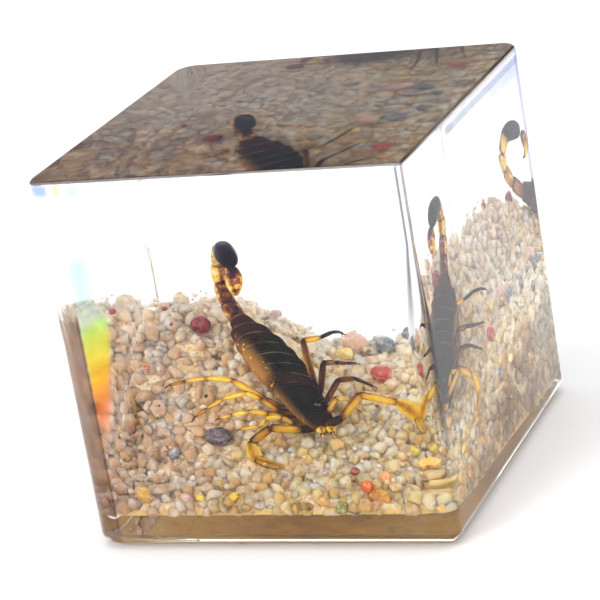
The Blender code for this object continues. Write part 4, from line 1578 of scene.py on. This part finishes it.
def make_eyes():
    """Two eyes on the mound of the carapace, and three small ones at each side of its edge."""
    bm = bmesh.new()
    _, sideways, upright, _ = trunk_axes([trunk_place(2.4), trunk_place(2.8)])[0]
    for turn, (along, aside, rise, radius, segments, rings) in product((-1, 1), EYES):
        centre = trunk_place(along) + upright * rise * MM + sideways * turn * aside * MM
        bmesh.ops.create_uvsphere(
            bm, u_segments=segments, v_segments=rings, radius=radius * MM,
            matrix=Matrix.Translation(centre),
        )
    item = add_object("eyes", mesh_of(bm, "eyes"), eye_finish())
    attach(item, "root")
    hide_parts("scorpion")


# ---- the stage ------------------------------------------------------------------

# The camera of the photo, from the fit of the block's corners
CAMERA_LENS = 162.46
CAMERA_PLACE = Vector((118.07, -282.16, 123.83)) * MM
CAMERA_FORWARD = Vector((-0.37026882, 0.87316526, -0.31699121))
CAMERA_RIGHT = Vector((0.92829315, 0.33522593, -0.16092047))
FLOOR_RADIUS = 3.0
FLOOR_GAP = 0.15 * MM


def make_camera():
    data = bpy.data.cameras.new("camera")
    data.lens = CAMERA_LENS
    data.sensor_width = 36
    data.clip_start = 0.01
    data.clip_end = 20
    camera = bpy.data.objects.new("camera", data)
    upward = CAMERA_RIGHT.cross(CAMERA_FORWARD).normalized()
    turned = Matrix((CAMERA_RIGHT, upward, -CAMERA_FORWARD)).transposed()
    camera.matrix_world = Matrix.Translation(CAMERA_PLACE) @ turned.to_4x4()
    bpy.context.scene.collection.objects.link(camera)
    bpy.context.scene.camera = camera


def make_floor(settings):
    """A wide disc just under the block."""
    bm = bmesh.new()
    bmesh.ops.create_circle(bm, cap_ends=True, segments=96, radius=FLOOR_RADIUS)
    bmesh.ops.translate(bm, verts=bm.verts, vec=(0, 0, -FLOOR_GAP))
    floor = add_object("floor", mesh_of(bm, "floor"), floor_finish(settings))
    if floor.data.polygons[0].normal.z < 0:
        floor.data.flip_normals()


# The light of the room by height, from the horizon to straight up
ROOM_LIGHT = (
    (0.0, (2.0, 2.0, 2.02)),
    (0.14, (1.7, 1.7, 1.73)),
    (0.25, (0.2, 0.21, 0.24)),
    (0.4, (0.2, 0.21, 0.24)),
    (0.65, (1.7, 1.7, 1.72)),
    (1.0, (2.1, 2.1, 2.12)),
)
# The bright wall low at the front, and a brighter patch of it: where that is, and the cosines of
# its edge and core angles
FRONT_LIGHT = (6.0, 5.75, 5.2)
LAMP_LIGHT = (11.0, 10.5, 9.6)
LAMP_TOWARD = (-0.37, -0.74, 0.56)
LAMP_EDGE = 0.968
LAMP_CORE = 0.988


def make_light(settings):
    """A room that is bright near the floor, most of all in front, and darker above the block."""
    world = bpy.data.worlds.new("studio")
    bpy.context.scene.world = world
    world.use_nodes = True
    look = Look(world.node_tree)
    direction = look.node("ShaderNodeTexCoord", {}, {}, "Generated")
    height = look.along("Z", direction)
    front = look.along("X", direction) * 0.15 - look.along("Y", direction) * 0.98
    wall = look.between(front, 0.0, 0.7) * look.between(height, 0.46, 0.14)
    glow = look.blend(wall, look.colours(height, ROOM_LIGHT), FRONT_LIGHT)
    cosine = {"operation": "DOT_PRODUCT"}
    toward = look.node("ShaderNodeVectorMath", cosine, {0: direction, 1: LAMP_TOWARD}, "Value")
    glow = look.stain(glow, LAMP_LIGHT, toward, LAMP_EDGE, LAMP_CORE)
    background = world.node_tree.nodes["Background"]
    look.fill(background.inputs, {"Color": glow, "Strength": settings.light})


def set_rendering():
    """Plain colours, and enough bounces for light to leave the resin again."""
    view = bpy.context.scene.view_settings
    view.view_transform = "Standard"
    view.look = "None"
    view.use_curve_mapping = True
    view.curve_mapping.black_level = (0.022, 0.024, 0.024)
    view.curve_mapping.update()
    cycles = bpy.context.scene.cycles
    cycles.max_bounces = 28
    cycles.transmission_bounces = 28
    cycles.glossy_bounces = 12
    cycles.diffuse_bounces = 6
    cycles.volume_bounces = 0
    cycles.transparent_max_bounces = 8
    cycles.blur_glossy = 0.0
    cycles.sample_clamp_indirect = 8.0


def make_stage(settings):
    make_camera()
    make_floor(settings)
    make_light(settings)
    set_rendering()


# ---- settings, operators and panel ----------------------------------------------


COLOUR = {"subtype": "COLOR", "size": 3, "min": 0, "max": 1}


class SpecimenBlockSettings(bpy.types.PropertyGroup):
    tint: FloatVectorProperty(
        name="Tint", description="Colour of light that passes the surface",
        default=(1.0, 1.0, 1.0), **COLOUR,
    )
    # Painted shade of the top face
    top_painted_shade: FloatVectorProperty(
        name="Top tint", description="Colour of light that passes the worn top face",
        default=(0.31, 0.30, 0.31), **COLOUR,
    )
    # Painted shade of the rounded edges
    edge_painted_shade: FloatVectorProperty(
        name="Edge tint", description="Colour of light that passes the rounded edges",
        default=(0.05, 0.05, 0.075), **COLOUR,
    )
    depth_tint: FloatVectorProperty(
        name="Depth tint", description="Colour that thick resin takes",
        default=(0.80, 0.82, 0.9), **COLOUR,
    )
    density: FloatProperty(
        name="Density", description="How soon the depth tint shows, per metre",
        min=0, default=0.6,
    )
    # The fringe's painted glow
    fringe_painted_glow: FloatProperty(
        name="Fringe glow", description="Light that the prismatic fringe throws out",
        min=0, default=0.38,
    )
    refraction: FloatProperty(
        name="Refraction", description="How strongly the resin bends light",
        min=1, max=2, default=1.5,
    )


class SpecimenGravelSettings(bpy.types.PropertyGroup):
    pitch: FloatProperty(
        name="Pitch", description="Distance between the stones' middles",
        subtype="DISTANCE", unit="LENGTH", default=1.25 * MM,
    )
    crumbs: IntProperty(
        name="Crumbs", description="Number of small broken pieces", min=0, default=200,
    )
    seed: IntProperty(name="Seed", description="Which arrangement of stones is laid", default=11)


class SpecimenScorpionSettings(bpy.types.PropertyGroup):
    plate_colour: FloatVectorProperty(
        name="Plates", description="Darkest colour of the back",
        default=(0.0015, 0.002, 0.003), **COLOUR,
    )
    plate_shade: FloatVectorProperty(
        name="Plate shade", description="Lighter mottling of the back",
        default=(0.006, 0.008, 0.009), **COLOUR,
    )


class SpecimenStageSettings(bpy.types.PropertyGroup):
    floor_colour: FloatVectorProperty(
        name="Floor", description="Colour of the floor",
        default=(0.575, 0.575, 0.585), **COLOUR,
    )
    floor_glow: FloatProperty(
        name="Floor glow", description="Light that comes up through the floor",
        min=0, default=0.08,
    )
    light: FloatProperty(name="Light", description="Brightness of the room", min=0, default=1.06)


class SPECIMEN_OT_make_stage(bpy.types.Operator):
    """Set up the camera, the pale floor and the soft light"""

    bl_idname = "specimen.make_stage"
    bl_label = "Stage"
    bl_options = {"REGISTER", "UNDO"}

    def execute(self, context):
        make_stage(context.scene.specimen_stage)
        return {"FINISHED"}


class SPECIMEN_OT_make_block(bpy.types.Operator):
    """Cast the clear resin block"""

    bl_idname = "specimen.make_block"
    bl_label = "Resin block"
    bl_options = {"REGISTER", "UNDO"}

    def execute(self, context):
        make_block(context.scene.specimen_block)
        return {"FINISHED"}


class SPECIMEN_OT_make_gravel(bpy.types.Operator):
    """Bank up the bedding, the crushed quartz and its crumbs"""

    bl_idname = "specimen.make_gravel"
    bl_label = "Gravel"
    bl_options = {"REGISTER", "UNDO"}

    def execute(self, context):
        make_gravel(context.scene.specimen_gravel)
        return {"FINISHED"}


class SPECIMEN_OT_make_stones(bpy.types.Operator):
    """Set the six coloured stones and the small coloured chips"""

    bl_idname = "specimen.make_stones"
    bl_label = "Coloured stones"
    bl_options = {"REGISTER", "UNDO"}

    def execute(self, context):
        make_stones()
        make_chips(context.scene.specimen_gravel)
        return {"FINISHED"}


class SPECIMEN_OT_make_trunk(bpy.types.Operator):
    """Build the scorpion's trunk with the plates of its back"""

    bl_idname = "specimen.make_trunk"
    bl_label = "Trunk"
    bl_options = {"REGISTER", "UNDO"}

    def execute(self, context):
        make_trunk(context.scene.specimen_scorpion)
        return {"FINISHED"}


class SPECIMEN_OT_make_head(bpy.types.Operator):
    """Build the carapace, the eyes and the jaws"""

    bl_idname = "specimen.make_head"
    bl_label = "Head"
    bl_options = {"REGISTER", "UNDO"}

    def execute(self, context):
        make_carapace(context.scene.specimen_scorpion)
        make_jaws()
        make_eyes()
        return {"FINISHED"}


class SPECIMEN_OT_make_tail(bpy.types.Operator):
    """Build the tail's segments and the sting"""

    bl_idname = "specimen.make_tail"
    bl_label = "Tail"
    bl_options = {"REGISTER", "UNDO"}

    def execute(self, context):
        make_tail()
        return {"FINISHED"}


class SPECIMEN_OT_make_limbs(bpy.types.Operator):
    """Build the eight legs and the two claw arms"""

    bl_idname = "specimen.make_limbs"
    bl_label = "Legs and arms"
    bl_options = {"REGISTER", "UNDO"}

    def execute(self, context):
        make_legs()
        make_arms()
        return {"FINISHED"}


SETTINGS = {
    "specimen_block": SpecimenBlockSettings,
    "specimen_gravel": SpecimenGravelSettings,
    "specimen_scorpion": SpecimenScorpionSettings,
    "specimen_stage": SpecimenStageSettings,
}
OPERATORS = (
    SPECIMEN_OT_make_stage,
    SPECIMEN_OT_make_block,
    SPECIMEN_OT_make_gravel,
    SPECIMEN_OT_make_stones,
    SPECIMEN_OT_make_trunk,
    SPECIMEN_OT_make_head,
    SPECIMEN_OT_make_tail,
    SPECIMEN_OT_make_limbs,
)


class SPECIMEN_PT_panel(bpy.types.Panel):
    """The steps that make the specimen block, with their settings"""

    bl_label = "Specimen Block"
    bl_idname = "SPECIMEN_PT_panel"
    bl_space_type = "VIEW_3D"
    bl_region_type = "UI"
    bl_category = "Specimen"

    def draw(self, context):
        for name, group in SETTINGS.items():
            box = self.layout.box()
            settings = getattr(context.scene, name)
            for field in group.__annotations__:
                box.prop(settings, field)
        for operator in OPERATORS:
            self.layout.operator(operator.bl_idname)


def register():
    for group in SETTINGS.values():
        bpy.utils.register_class(group)
    for name, group in SETTINGS.items():
        setattr(bpy.types.Scene, name, PointerProperty(type=group))
    for operator in OPERATORS:
        bpy.utils.register_class(operator)
    bpy.utils.register_class(SPECIMEN_PT_panel)


def unregister():
    bpy.utils.unregister_class(SPECIMEN_PT_panel)
    for operator in reversed(OPERATORS):
        bpy.utils.unregister_class(operator)
    for name, group in SETTINGS.items():
        delattr(bpy.types.Scene, name)
        bpy.utils.unregister_class(group)


def main():
    clear_scene()
    register()
    bpy.ops.specimen.make_stage()
    bpy.ops.specimen.make_block()
    bpy.ops.specimen.make_trunk()
    bpy.ops.specimen.make_head()
    bpy.ops.specimen.make_tail()
    bpy.ops.specimen.make_limbs()
    bpy.ops.specimen.make_gravel()
    bpy.ops.specimen.make_stones()


if __name__ == "__main__":
    main()
